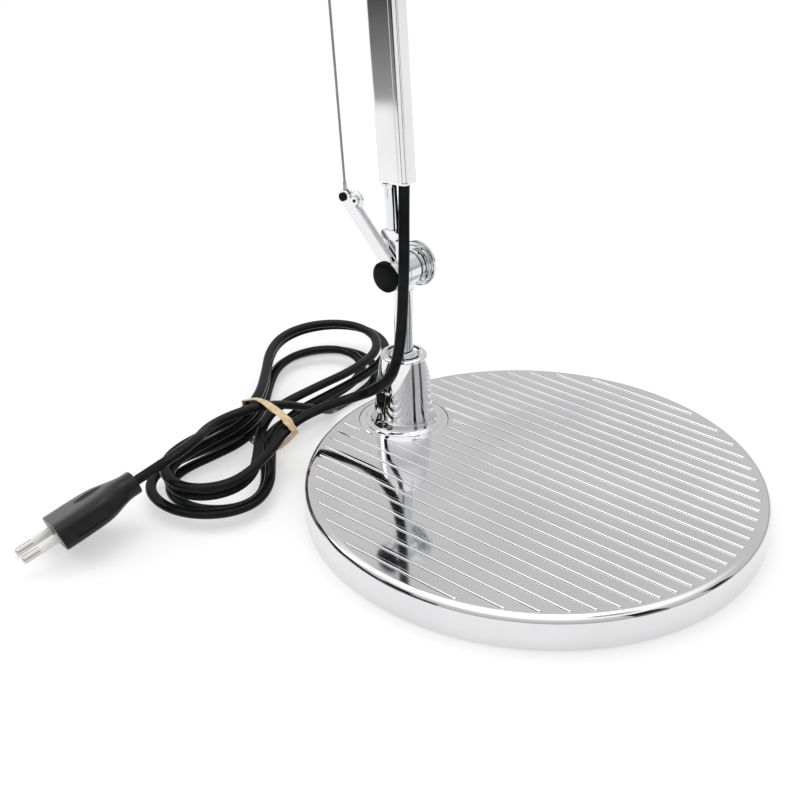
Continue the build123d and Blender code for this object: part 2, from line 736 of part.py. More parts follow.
FLEX_UPPER = [(4.0, -4.4, 152.5), (6.0, -7.0, 132.0), (10.9, -12.6, 112.0), (11.5, -14.5, 92.0)]
FLEX_LOWER = [(11.5, -14.5, 92.0), (12.1, -16.4, 72.0), (8.5, -19.0, 54.0), (-0.5, -20.8, 43.5)]
FLEX_LOWER += [(-12.0, -27.0, 37.0)]
FLEX_AT_BAND = [(-3.0, -39.0, 31.5), (-14.0, -28.0, 27.0), (-27.0, -24.8, 23.6)]


def flex_lower_points():
    start = hank_ends()[0]
    before = start - hank_heading(HANK_FIRST) * 16
    points = [beside_post(point) for point in FLEX_LOWER]
    points += [hank_uv(*point) for point in FLEX_AT_BAND]
    return points + [tuple(before), tuple(start)]


def beside_post(point):
    return (POST_X + point[0], point[1], point[2])


def flex_lead_points():
    start = hank_ends()[1]
    after = start + hank_heading(HANK_LAST) * 13
    points = [tuple(start), tuple(after), hank_uv(30, -27, 9.5), hank_uv(14, -21, 18.7)]
    points += [hank_uv(-1, -10.5, 27.0), hank_uv(-17, 2.0, 28.6), hank_uv(-38, 10.5, 28.9)]
    x = HANK_AT[0]
    return points + [(x + 16.6, -107.5, 33.6), (x + 14.0, -126.0, 29.3)]


def make_band():
    # A rubber band round the waist, a little askew, over the layers and both ends that cross them.
    inner = [(17.3, 3.5), (17.3, 21.1), (14.9, 24.5), (-0.5, 30.85), (-21.7, 30.85), (-27.3, 28.5)]
    inner += [(-29.8, 26.2), (-30.2, 24.5), (-29.7, 22.9), (-12.7, 6.0), (-0.8, 1.05), (14.5, 1.05)]
    loop = make_face(Polyline(*inner, close=True))
    outer = offset(loop, BAND_T, kind=Kind.ARC)
    ring = outer - loop
    turn = math.radians(HANK_TURN - BAND_SLANT)
    ahead = Vector(math.cos(turn), math.sin(turn), 0)
    across = Vector(-math.sin(turn), math.cos(turn), 0)
    origin = Vector(*hank_uv(BAND_AT[0], BAND_AT[1], 0)) - ahead * (BAND_W / 2)
    # The sketch's x runs across the waist and its y runs up.
    plane = Plane(origin=origin, x_dir=across, z_dir=across.cross(Vector(0, 0, 1)))
    return extrude(plane * ring, BAND_W if plane.z_dir.dot(ahead) > 0 else -BAND_W)


# ---- plug ----
def plug_plane(back):
    axis = Vector(*PLUG_AXIS).normalized()
    wide = Vector(*PLUG_WIDE)
    wide = (wide - axis * wide.dot(axis)).normalized()
    origin = Vector(*PLUG_FACE) - axis * back
    return Plane(origin=origin, x_dir=wide, z_dir=axis)


def make_plug_body():
    outline = [(-PLUG_W / 2, 0), (PLUG_W / 2, 0), (PLUG_W / 2, -12), (13.2, -25), (9.5, -PLUG_LEN)]
    outline += [(-9.5, -PLUG_LEN), (-13.2, -25), (-PLUG_W / 2, -12)]
    side = Plane(origin=(0, -PLUG_T / 2, 0), x_dir=(1, 0, 0), z_dir=(0, -1, 0))
    body = extrude(side * make_face(Polyline(*outline, close=True)), -PLUG_T)
    body = fillet(body.edges().filter_by(GeomType.LINE), 2.2)
    for x in (-PIN_SPACING / 2, PIN_SPACING / 2):
        body -= upright(PLUG_PIN_R + SNUG, -8.0, 1, (x, 0))
    return body


def make_strain():
    relief = upright(5.6, -PLUG_LEN - 5, -PLUG_LEN + 1)
    for i in range(5):
        z1 = -PLUG_LEN - 5 - 4 * i
        relief += upright(5.2 - 0.35 * i, z1 - 2.6, z1)
        relief += upright(4.0, z1 - 4.0, z1 - 2.5)
    return relief


def make_plug():
    body = make_plug_body() + make_strain()
    body -= upright(FLEX_R + 0.05, -PLUG_LEN - 26, -PLUG_LEN - 12)
    return plug_plane(0).location * body


def make_plug_pins(z0, z1, radius, bore):
    pins = []
    for x in (-PIN_SPACING / 2, PIN_SPACING / 2):
        pin = upright(radius, z0, z1, (x, 0))
        if bore:
            pin -= upright(bore, z0, z1, (x, 0))
        else:
            pin = fillet(pin.edges().sort_by(Axis.Z)[-1], 1.2)
        pins.append(plug_plane(0).location * pin)
    return Compound(pins)


# ---- all the pieces, by name ----
def base_pieces():
    return {
        "base_cover": make_cover(),
        "ballast_plate": make_ballast(),
        "base_pad": upright(PAD_R, 0, PAD_T),
        "base_screws": Compound(make_cover_screws() + make_socket_screws()),
        "post_socket": make_socket(),
        "socket_bush": make_bush(),
        "flex_hank": make_hank(),
        "flex_lead": make_run(flex_lead_points(), FLEX_R, "flex_lead"),
        "flex_lower": make_run(flex_lower_points(), FLEX_R, "flex_lower"),
        "hank_band": make_band(),
        "plug_body": make_plug(),
        "plug_pins": make_plug_pins(-7.5, PLUG_PIN_LEN, PLUG_PIN_R, 0),
    }


def swivel_pieces():
    axle = {
        "base_bolt": make_bolt(6.3 + KNOB_BORE - 0.1),
        "base_cap": make_cap(),
        "base_washers": make_base_washers(),
        "horn_lever": make_horn(),
        "horn_pins": Compound([make_link_pin(PIN_A), make_axle()]),
        "adjuster_wheel": make_wheel(),
        "base_knob": make_knob(6.3),
    }
    pieces = {name: Pos(*HUB) * shape for name, shape in axle.items()}
    pieces["swivel_post"] = Compound([make_post(), make_post_clip()])
    return pieces


def lower_pieces():
    y_mid = LOWER_Y0 + 4.6
    anchors = spring_anchors(LOWER_LEN)
    arm = {
        "lower_foot": make_foot(LOWER_Y0, LOWER_Y1),
        "lower_rod": make_rod(LOWER_Y0, LOWER_Y1),
        "lower_profile": make_profile(LOWER_LEN, y_mid, anchors),
        "lower_ends": make_ends(LOWER_LEN, LOWER_Y0, LOWER_Y1, y_mid),
        "lower_spring": Compound([make_arm_spring(y_mid, anchors)] + make_anchors(y_mid, anchors)),
        "lower_sleeve": make_sleeve(LOWER_Y0, LOWER_Y1),
    }
    pieces = {name: placed(HUB, LOWER_REST, shape) for name, shape in arm.items()}
    start = (HUB[0] + PIN_A[0], 0.0, HUB[2] + PIN_A[1])
    pieces["lower_cable"] = placed(start, LOWER_REST, make_cable(LOWER_LEN))
    pieces["flex_upper"] = make_run([beside_post(point) for point in FLEX_UPPER], FLEX_R, "flex_upper")
    return pieces


def elbow_pieces():
    parts = {
        "elbow_plate": make_elbow_plate(),
        "elbow_pins": Compound([make_link_pin(PIN_A), make_link_pin(PIN_B)]),
        "elbow_bolt": make_bolt(3.2 + KNOB_BORE - 0.1),
        "elbow_cap": make_cap(),
        "elbow_washers": make_elbow_washers(),
        "elbow_knob": make_knob(3.2),
    }
    return {name: Pos(*ELBOW) * shape for name, shape in parts.items()}


def upper_pieces():
    y_mid = UPPER_Y0 + 4.2
    anchors = spring_anchors(UPPER_LEN)
    arm = {
        "upper_foot": make_foot(UPPER_Y0, UPPER_Y1),
        "upper_rod": make_rod(UPPER_Y0, UPPER_Y1),
        "upper_profile": make_profile(UPPER_LEN, y_mid, anchors),
        "upper_ends": make_ends(UPPER_LEN, UPPER_Y0, UPPER_Y1, y_mid),
        "upper_spring": Compound([make_arm_spring(y_mid, anchors)] + make_anchors(y_mid, anchors)),
    }
    pieces = {name: placed(ELBOW, UPPER_REST, shape) for name, shape in arm.items()}
    start = (ELBOW[0] + PIN_B[0], 0.0, ELBOW[2] + PIN_B[1])
    pieces["upper_cable"] = placed(start, UPPER_REST, make_cable(UPPER_LEN))
    return pieces


def head_pieces():
    wrist = {
        "head_plate": make_head_plate(),
        "head_pin": make_link_pin(PIN_B),
        "plate_bolts": make_plate_bolts(),
        "plate_caps": Compound([make_cap(), Pos(TILT_DX, 0, TILT_DZ) * make_cap()]),
        "plate_washers": make_plate_washers(),
    }
    pieces = {name: Pos(*WRIST) * shape for name, shape in wrist.items()}
    tilt = {
        "tilt_knob": make_knob(STEM_Y1 + 1.25),
        "head_stem": Compound([make_stem(), make_stem_clip()]),
    }
    pieces.update({name: Pos(*TILT) * shape for name, shape in tilt.items()})
    middle = (STEM_Y0 + STEM_Y1) / 2
    head = {
        "lamp_housing": make_housing(),
        "switch_button": make_button(),
        "switch_body": make_switch(),
        "shade": make_shade(),
        "lampholder": make_lampholder(),
        "holder_contact": make_contact(),
        "bulb_cap": make_bulb_cap(),
        "bulb_glass": make_bulb_glass(),
    }
    pieces.update({name: Pos(TILT[0], middle, TILT[2]) * shape for name, shape in head.items()})
    return pieces


def main():
    os.makedirs("parts", exist_ok=True)
    pieces = {}
    for group in (base_pieces, swivel_pieces, lower_pieces, elbow_pieces, upper_pieces, head_pieces):
        pieces.update(group())
    for name, shape in pieces.items():
        shape.label = name
        export_step(shape, os.path.join("parts", name + ".step"))
    print(len(pieces), "pieces")


main()
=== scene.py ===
# %% [markdown]
# # A desk lamp with balanced arms
# The lamp stands on a heavy ribbed disc. A mirror-bright socket holds a thin chrome post. On the post sit the
# first tilt joint, the forked lever of the steel cable, and the foot of the lower arm.
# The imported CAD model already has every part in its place, in metres, so this lesson only dresses it.

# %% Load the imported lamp
import json
import math
import bpy
from mathutils import Matrix, Vector


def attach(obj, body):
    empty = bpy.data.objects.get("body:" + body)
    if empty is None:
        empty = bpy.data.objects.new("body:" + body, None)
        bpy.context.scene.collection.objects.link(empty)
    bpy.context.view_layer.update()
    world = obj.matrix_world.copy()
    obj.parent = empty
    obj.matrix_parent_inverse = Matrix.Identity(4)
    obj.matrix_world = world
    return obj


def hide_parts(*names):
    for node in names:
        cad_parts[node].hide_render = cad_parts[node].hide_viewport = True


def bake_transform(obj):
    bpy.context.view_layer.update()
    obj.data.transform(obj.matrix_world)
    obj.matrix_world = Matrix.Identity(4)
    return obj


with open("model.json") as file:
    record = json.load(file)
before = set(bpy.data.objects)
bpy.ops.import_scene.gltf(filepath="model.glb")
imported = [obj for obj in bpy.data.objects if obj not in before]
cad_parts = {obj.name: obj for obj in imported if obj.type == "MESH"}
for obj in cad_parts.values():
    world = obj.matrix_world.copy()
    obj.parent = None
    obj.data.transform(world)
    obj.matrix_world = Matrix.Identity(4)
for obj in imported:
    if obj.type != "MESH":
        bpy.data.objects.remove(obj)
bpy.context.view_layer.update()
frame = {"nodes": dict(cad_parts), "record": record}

MM = 0.001
BODY_OF = {n: b for b, nodes in frame["record"]["behaviour"]["bodies"].items() for n in nodes}


def add_object(name, data):
    made = bpy.data.objects.new(name, data)
    bpy.context.scene.collection.objects.link(made)
    return made


def mesh_piece(name, points, faces):
    mesh = bpy.data.meshes.new(name)
    mesh.from_pydata(points, [], faces)
    return add_object(name, mesh)


# %% [markdown]
# ## The camera
# The picture shows only the foot of the lamp, seen from above and from the side of the plug. The round disc
# appears as an ellipse, whose shape gives the camera's height and tilt. Its distance shows only weakly, so
# the arm, the socket, the plug and the bundle were matched as well. The camera is built from its place and
# its three directions, so nothing depends on Blender's own picture size.

# %% Place the camera
eye = Vector((270.50, -423.35, 329.71)) * MM
ahead = Vector((-0.5677, 0.6701, -0.4783)).normalized()
to_right = Vector((0.7636, 0.6456, -0.0019))
to_right = (to_right - ahead * to_right.dot(ahead)).normalized()
to_top = to_right.cross(ahead)
camera = add_object("photo_camera", bpy.data.cameras.new("photo_camera"))
directions = Matrix((to_right, to_top, -ahead)).transposed().to_4x4()
camera.matrix_world = Matrix.Translation(eye) @ directions
camera.data.sensor_width = 36.0
camera.data.lens = 52.77
camera.data.clip_start = 0.01
bpy.context.scene.camera = camera
print("camera at", [round(v, 3) for v in eye])

# %% [markdown]
# ## Shader maths in plain expressions
# A finish is a small graph of nodes. Written one by one, the Math nodes bury the idea, so one small class
# wraps a socket and lets Python's own signs add them. Every other node comes from its one method, `node`.

# %% A socket that understands + - and *
class Signal:
    def __init__(self, tree, socket):
        self.tree = tree
        self.socket = socket

    def node(self, kind, settings=None, inputs=None, out=0):
        made = self.tree.nodes.new(kind)
        for name, value in (settings or {}).items():
            setattr(made, name, value)
        for name, value in (inputs or {}).items():
            if isinstance(value, Signal):
                self.tree.links.new(value.socket, made.inputs[name])
            else:
                made.inputs[name].default_value = value
        return Signal(self.tree, made.outputs[out])

    def maths(self, operation, *values):
        return self.node("ShaderNodeMath", {"operation": operation}, dict(enumerate(values)))

    def __add__(self, other):
        return self.maths("ADD", self, other)

    def __sub__(self, other):
        return self.maths("SUBTRACT", self, other)

    def __rsub__(self, other):
        return self.maths("SUBTRACT", other, self)

    def __mul__(self, other):
        return self.maths("MULTIPLY", self, other)

    __radd__ = __add__
    __rmul__ = __mul__


# %% Noise, steps and colour mixes that the finishes share
def noise(place, scale, detail=3.0, stretch=(1, 1, 1), turn=0.0):
    inputs = {"Vector": place, "Rotation": (0, math.radians(turn), 0), "Scale": stretch}
    turned_place = place.node("ShaderNodeMapping", {}, inputs)
    return place.node("ShaderNodeTexNoise", {}, {"Vector": turned_place, "Scale": scale, "Detail": detail})


def step(signal, low, high):
    return signal.node("ShaderNodeMapRange", {"interpolation_type": "SMOOTHSTEP"},
                       {"Value": signal, "From Min": low, "From Max": high})


def mix_colour(factor, first, second):
    inputs = {0: factor}
    for key, colour in ((6, first), (7, second)):
        inputs[key] = colour if isinstance(colour, Signal) else (*colour, 1)
    return factor.node("ShaderNodeMix", {"data_type": "RGBA"}, inputs, out=2)


def bump(height, strength, distance):
    inputs = {"Height": height, "Strength": strength, "Distance": distance}
    return height.node("ShaderNodeBump", {}, inputs)


def new_finish(name, **constants):
    material = bpy.data.materials.new(name)
    material.use_nodes = True
    tree = material.node_tree
    shader = tree.nodes["Principled BSDF"]
    for socket, value in constants.items():
        shader.inputs[socket.replace("_", " ")].default_value = value
    place = Signal(tree, tree.nodes.new("ShaderNodeTexCoord").outputs["Object"])
    return material, place


def plug_in(material, **signals):
    shader = material.node_tree.nodes["Principled BSDF"]
    for socket, signal in signals.items():
        material.node_tree.links.new(signal.socket, shader.inputs[socket.replace("_", " ")])
    return material


# %% [markdown]
# ## The metals
# Nearly all of the lamp is bright metal, and what tells one from another is how it blurs the room. The disc
# and the socket are buffed, so they show a mirror image with faint polishing marks. The arm is drawn
# aluminium with fine lines along its length, turned to suit the lower arm, the only one in the picture. The
# cable is dull steel. One recipe makes them all: a pale colour, a roughness that drifts as finger marks do,
# and fine lines that may be stretched one way.

# %% One recipe for metal
CLOUD_SCALE, GRAIN_SCALE, DARKER = 28.0, 900.0, 0.90


def metal(name, colour, rough, drift, lines, stretch=(1, 1, 1), turn=0.0, dent=0.0):
    material, place = new_finish(name, Metallic=1.0)
    cloud = noise(place, CLOUD_SCALE, 4.0)
    grain = noise(place, GRAIN_SCALE, 2.0, stretch, turn)
    dark = tuple(DARKER * c for c in colour)
    parts = {
        "Base_Color": mix_colour(step(cloud, 0.35, 0.75), colour, dark),
        "Roughness": (cloud - 0.5) * drift + (grain - 0.5) * lines + rough,
    }
    if dent:
        parts["Normal"] = bump(grain, dent, 0.0001)
    return plug_in(material, **parts)


FINISH = {
    "polished_alloy": metal("polished_alloy", (0.86, 0.86, 0.87), 0.045, 0.03, 0.02),
    "arm_alloy": metal("arm_alloy", (0.82, 0.82, 0.83), 0.08, 0.04, 0.05, (1, 1, 0.02), -4.5, 0.06),
    "chrome_steel": metal("chrome_steel", (0.80, 0.81, 0.82), 0.03, 0.02, 0.01),
    "screw_steel": metal("screw_steel", (0.62, 0.62, 0.63), 0.28, 0.08, 0.08, dent=0.1),
    "ballast_steel": metal("ballast_steel", (0.42, 0.43, 0.45), 0.42, 0.15, 0.1, dent=0.3),
    "cable_steel": metal("cable_steel", (0.45, 0.45, 0.46), 0.32, 0.08, 0.05),
    "pin_metal": metal("pin_metal", (0.60, 0.59, 0.57), 0.12, 0.06, 0.05, dent=0.05),
    "cap_brass": metal("cap_brass", (0.72, 0.55, 0.27), 0.22, 0.1, 0.05, dent=0.1),
}
print("metals", sorted(FINISH))

# %% [markdown]
# ## The disc's own finish
# The top of the disc is buffed along the ribs, and the rounded rim is left plain. A mask on the distance from
# the middle tells rim from top, and very faint lines along X break up the mirror image, as they do under the
# socket in the picture.

# %% The disc
RIM_STARTS, RIM_FULL = 0.1105, 0.1118


def disc_finish():
    material, place = new_finish("disc_aluminium", Metallic=1.0)
    flat = place.node("ShaderNodeVectorMath", {"operation": "MULTIPLY"}, {0: place, 1: (1, 1, 0)})
    far = place.node("ShaderNodeVectorMath", {"operation": "LENGTH"}, {0: flat}, out=1)
    rim = step(far, RIM_STARTS, RIM_FULL)
    lines = noise(place, 1400.0, 2.0, (0.02, 1, 1))
    cloud = noise(place, 18.0, 4.0)
    rough = (1 - rim) * ((lines - 0.5) * 0.03 + 0.065) + rim * 0.07 + (cloud - 0.5) * 0.03
    colour = mix_colour(step(cloud, 0.3, 0.8), (0.79, 0.79, 0.80), (0.73, 0.73, 0.74))
    relief = bump((1 - rim) * lines, 0.035, 0.0001)
    return plug_in(material, Base_Color=colour, Roughness=rough, Normal=relief)


FINISH["disc_aluminium"] = disc_finish()

# %% [markdown]
# ## Plastics, rubber, glass
# The flex and the plug are black vinyl, one glossier than the other. Real vinyl is never quite even: it has
# a soft waviness and a fine skin, and both live in the bump and the roughness here. The rubber band is
# beige, with darker patches.

# %% One recipe for plastic
def plastic(name, colour, second, rough, wave, skin, depth, mirror):
    material, place = new_finish(name, Specular_IOR_Level=mirror)
    waves = noise(place, wave, 3.0)
    fine = noise(place, skin, 2.0)
    return plug_in(
        material,
        Base_Color=mix_colour(step(waves, 0.35, 0.75), colour, second),
        Roughness=(waves - 0.5) * 0.12 + (fine - 0.5) * 0.10 + rough,
        Normal=bump(waves * 0.7 + fine * 0.3, depth, 0.0002),
    )


# Each row: the two colours, the roughness, how fine the waves and the skin are, the depth of the bump, and
# how much of the room the surface mirrors, where 0.5 is plain plastic.
PLASTICS = [
    ("black_flex", (0.006, 0.006, 0.007), (0.009, 0.010, 0.010), 0.16, 160, 2200, 0.08, 0.11),
    ("plug_black", (0.009, 0.009, 0.010), (0.014, 0.014, 0.015), 0.30, 90, 2600, 0.20, 0.26),
    ("black_gloss", (0.005, 0.006, 0.006), (0.008, 0.008, 0.009), 0.18, 120, 1800, 0.05, 0.05),
    ("black_rubber", (0.020, 0.020, 0.020), (0.032, 0.032, 0.031), 0.70, 60, 900, 0.5, 0.5),
    ("beige_band", (0.72, 0.55, 0.34), (0.55, 0.37, 0.19), 0.50, 320, 1500, 0.35, 0.5),
    ("holder_white", (0.80, 0.80, 0.78), (0.72, 0.71, 0.68), 0.32, 60, 900, 0.08, 0.5),
]
for row in PLASTICS:
    FINISH[row[0]] = plastic(*row)


def frosted_glass():
    material, place = new_finish("bulb_glass", IOR=1.45, Coat_Weight=0.5)
    cloud = noise(place, 45.0, 3.0)
    fine = noise(place, 1600.0, 2.0)
    return plug_in(
        material,
        Base_Color=mix_colour(step(cloud, 0.3, 0.8), (0.90, 0.90, 0.87), (0.82, 0.81, 0.77)),
        Roughness=(fine - 0.5) * 0.1 + 0.3,
        Normal=bump(fine, 0.05, 0.0001),
    )


FINISH["bulb_glass"] = frosted_glass()
print("finishes", len(FINISH))

# %% [markdown]
# ## Working by hand, in code
# The helpers below do what a hand does at the screen: clear the selection, take one piece, go into edit mode,
# come out again, finish with a modifier that is applied at once, cut one piece with another, and join some.

# %% Select, edit, modify
def take(piece):
    if bpy.context.object and bpy.context.object.mode != "OBJECT":
        bpy.ops.object.mode_set(mode="OBJECT")
    bpy.ops.object.select_all(action="DESELECT")
    if piece is not None:
        piece.select_set(True)
        bpy.context.view_layer.objects.active = piece
    return piece


def edit(piece, select="SELECT"):
    take(piece)
    bpy.ops.object.mode_set(mode="EDIT")
    bpy.ops.mesh.select_all(action=select)


def pick(piece, test):
    # Selects the faces that the test accepts, by their middle and their normal.
    edit(piece, "DESELECT")
    bpy.ops.mesh.select_mode(type="FACE")
    bpy.ops.object.mode_set(mode="OBJECT")
    for face in piece.data.polygons:
        face.select = test(face.center, face.normal)
    bpy.ops.object.mode_set(mode="EDIT")


def done(piece, name=None):
    bpy.ops.object.mode_set(mode="OBJECT")
    bpy.ops.object.transform_apply(location=True, rotation=True, scale=True)
    if name:
        piece.name = name
        piece.data.name = name
    return piece


def modify(piece, kind, **settings):
    take(piece)
    modifier = piece.modifiers.new(kind.lower(), kind)
    for name, value in settings.items():
        setattr(modifier, name, value)
    bpy.ops.object.modifier_apply(modifier=modifier.name)
    return piece


def soften(piece, edge, sharper_than):
    # Eases the edges that are sharper than an angle.
    return modify(piece, "BEVEL", width=edge * MM, segments=2, limit_method="ANGLE",
                  angle_limit=math.radians(sharper_than))


def cut(piece, tool):
    modify(piece, "BOOLEAN", operation="DIFFERENCE", object=tool, solver="EXACT")
    bpy.data.objects.remove(tool)
    return piece


def join(pieces):
    take(pieces[0])
    for piece in pieces:
        piece.select_set(True)
    bpy.ops.object.join()
    return bpy.context.object


def face_outwards(piece):
    edit(piece)
    bpy.ops.mesh.normals_make_consistent(inside=False)
    bpy.ops.object.mode_set(mode="OBJECT")
    return piece


def shade(piece, angle=32):
    take(piece)
    bpy.ops.object.shade_smooth_by_angle(angle=math.radians(angle))
    return modify(piece, "WEIGHTED_NORMAL", keep_sharp=True, weight=80)


def dress(piece, finish, *nodes, body=None):
    # The finish, the body it rides on, and the CAD nodes it stands for.
    piece.data.materials.clear()
    piece.data.materials.append(FINISH[finish])
    if nodes:
        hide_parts(*nodes)
    if body is None:
        body = BODY_OF[nodes[0]]
    if body:
        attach(piece, body)
    print(piece.name, "->", body, finish)
    return piece


# %% [markdown]
# ## Turned parts
# The socket, the caps and the clamp knobs come off a lathe, so they are made like that: the half section is
# drawn as a ring of points, and spin turns it once round the axis. Rounded corners are drawn in the section.

# %% The lathe
def turned(name, section, at, finish, nodes, body=None, axis="Z", steps=96, angle=32):
    take(None)
    bpy.ops.mesh.primitive_circle_add(vertices=len(section), radius=0.01)
    piece = bpy.context.object
    for vertex, (r, z) in zip(piece.data.vertices, section):
        vertex.co = (r * MM, 0, z * MM)
    edit(piece)
    bpy.ops.mesh.spin(steps=steps, angle=2 * math.pi, center=(0, 0, 0), axis=(0, 0, 1))
    bpy.ops.mesh.select_all(action="SELECT")
    bpy.ops.mesh.remove_doubles(threshold=2e-6)
    bpy.ops.mesh.delete_loose(use_faces=False)
    bpy.ops.mesh.select_all(action="SELECT")
    bpy.ops.mesh.normals_make_consistent(inside=False)
    bpy.ops.object.mode_set(mode="OBJECT")
    if axis == "Y":
        piece.rotation_euler = (math.radians(-90), 0, 0)
    piece.location = [v * MM for v in at]
    done(piece, name)
    shade(piece, angle)
    return dress(piece, finish, *nodes, body=body)


def between(four, t):
    # A smooth curve through four points: its place between the middle two, at the share t.
    return tuple(
        0.5 * (2 * q + (r - p) * t + (2 * p - 5 * q + 4 * r - s) * t ** 2
               + (3 * q - p - 3 * r + s) * t ** 3)
        for p, q, r, s in zip(*four))


def flowing(points, parts=6):
    # A smooth line through the points, for a section that shows in a mirror finish.
    line = []
    for i in range(len(points) - 1):
        four = (points[max(i - 1, 0)], points[i], points[i + 1], points[min(i + 2, len(points) - 1)])
        line += [between(four, k / parts) for k in range(parts)]
    return line + [points[-1]]


# %% [markdown]
# ## The disc
# A flat cylinder with many sides is bevelled to the rounded rim and hollowed from below, as the real cover is
# a pressed shell over a steel weight. The hole for the socket is cut with a boolean.

# %% Cover of the base
BASE_R, BASE_TOP, COVER_LIFT, POST_X = 115.0, 17.3, 0.8, -85.5
WALL, HOLLOW, RIM_ROUND, FOOT_ROUND, SOCKET_HOLE_R = 2.4, 13.5, 3.9, 0.5, 24.2


def cylinder(radius, z0, z1, at=(0, 0), vertices=32):
    take(None)
    bpy.ops.mesh.primitive_cylinder_add(
        vertices=vertices, radius=radius * MM, depth=(z1 - z0) * MM,
        location=(at[0] * MM, at[1] * MM, (z0 + z1) / 2 * MM))
    return bpy.context.object


def make_cover():
    cover = done(cylinder(BASE_R, COVER_LIFT, BASE_TOP, vertices=256), "disc_cover")
    pick(cover, lambda c, n: n.z < -0.9)
    bpy.ops.mesh.inset(thickness=WALL * MM)
    bpy.ops.mesh.extrude_region_move(TRANSFORM_OT_translate={"value": (0, 0, HOLLOW * MM)})
    pick(cover, lambda c, n: n.z > 0.9 and c.z > (BASE_TOP - 0.3) * MM)
    bpy.ops.mesh.bevel(offset=RIM_ROUND * MM, offset_type="OFFSET", segments=10, profile=0.5, affect="EDGES")
    done(cover)
    pick(cover, lambda c, n: n.z < -0.9 and c.z < (COVER_LIFT + 0.2) * MM)
    bpy.ops.mesh.bevel(offset=FOOT_ROUND * MM, segments=2, affect="EDGES")
    done(cover)
    cut(cover, cylinder(SOCKET_HOLE_R, -5, 30, (POST_X, 0), 128))
    return shade(cover, 28)


dress(make_cover(), "disc_aluminium", "base_cover")

# %% [markdown]
# ## The ribs
# Each rib is a long low bar with round ends. A short cylinder is stretched by moving half of its points, and
# its eased upper edge catches the light as one thin bright line beside the flat top. The rib is modelled
# once, and each copy gets its own length.

# %% Ribs of the disc
RIBS, RIB_W, RIB_H, RIB_PITCH, FIELD_R, CLEAR_R = 27, 2.8, 0.6, 8.08, 109.85, 26.0
RIB_SUNK, RIB_ROUND = 0.3, 0.72


def rib_spans(y):
    reach = math.sqrt(FIELD_R ** 2 - y * y)
    if abs(y) >= CLEAR_R + RIB_W / 2:
        return [(-reach, reach)]
    gap = math.sqrt(max(CLEAR_R ** 2 - y * y, 0))
    spans = [(POST_X + gap, reach)]
    if POST_X - gap + reach > 3 * RIB_W:
        spans.append((-reach, POST_X - gap))
    return spans


def make_rib():
    rib = done(cylinder(RIB_W / 2, BASE_TOP - RIB_SUNK, BASE_TOP + RIB_H, vertices=20), "rib")
    pick(rib, lambda c, n: n.z > 0.9)
    bpy.ops.mesh.bevel(offset=RIB_ROUND * MM, offset_type="OFFSET", segments=4, profile=0.5, affect="EDGES")
    return done(rib)


def make_ribs():
    first = make_rib()
    copies = []
    for i in range(RIBS):
        y = (i - RIBS // 2) * RIB_PITCH
        for x0, x1 in rib_spans(y):
            copy = add_object("rib_copy", first.data.copy())
            for vertex in copy.data.vertices:
                middle = x0 + RIB_W / 2 if vertex.co.x < 0 else x1 - RIB_W / 2
                vertex.co.x += middle * MM
                vertex.co.y += y * MM
            copies.append(copy)
    bpy.data.objects.remove(first)
    return shade(done(join(copies), "disc_ribs"), 50)


dress(make_ribs(), "disc_aluminium", body="base")

# %% [markdown]
# ## The socket of the post
# The flared socket is the brightest part, a mirror that bends the room. Its section follows the picture: a
# flange let into the disc, a low ring, the flare, and a rounded lip with a ring of shadow round the bush.

# %% Socket and bush
LIP_AT, LIP_R = (12.4, 55.4), 1.6
flare = flowing([(17.2, 19.0), (16.2, 22.2), (15.5, 27.0), (14.9, 33.0), (14.35, 40.0), (13.4, 48.0), LIP_AT])
lip = []
for k in range(1, 7):
    a = math.radians(15 * k)
    lip.append((LIP_AT[0] - LIP_R * (1 - math.cos(a)), LIP_AT[1] + LIP_R * math.sin(a)))
flange = [(7.75, 14.3), (24.0, 14.3), (24.0, 17.0), (23.7, 17.3), (20.6, 17.3), (20.5, 17.7),
          (20.2, 17.9), (17.8, 18.2)]
bore = [(9.7, 57.0), (9.5, 54.4), (8.3, 54.4), (8.1, 56.9), (7.75, 56.5)]
turned("socket", flange + flare + lip + bore, (POST_X, 0, 0), "polished_alloy", ["post_socket"],
       steps=160, angle=25)
bush = [(5.05, 21.5), (7.7, 21.5), (7.7, 55.6), (7.2, 56.1), (6.0, 56.1), (5.3, 55.9), (5.05, 55.5)]
turned("bush", bush, (POST_X, 0, 0), "chrome_steel", ["socket_bush"], angle=25)

# %% [markdown]
# ## The first joint
# One bolt holds everything on the post's hub. On the near side it ends under a black domed cap, and on the
# far side in a clamp knob, a stack of bright rings that ends in a wider grip.

# %% Caps and knobs
HUB = (POST_X, 0.0, 104.0)
ELBOW = (-120.807, 0.0, 552.613)
WRIST = (294.179, 0.0, 773.264)
TILT = (320.179, 0.0, 767.264)
LOWER_LEN, LOWER_LEAN = 450.0, -4.5
UPPER_LEN, UPPER_LEAN = 470.0, 62.0


def cap(name, pivot, nodes, body=None):
    # Heights run along +Y. The dome faces -Y.
    dome = [(0.0, -16.0), (3.0, -15.95), (5.2, -15.8), (6.6, -15.55), (7.5, -15.1), (8.0, -14.5)]
    rest = [(8.0, -13.65), (5.65, -13.65), (5.65, -14.95), (0.0, -14.95)]
    return turned(name, dome + rest, pivot, "black_gloss", nodes, body, axis="Y", steps=64, angle=35)


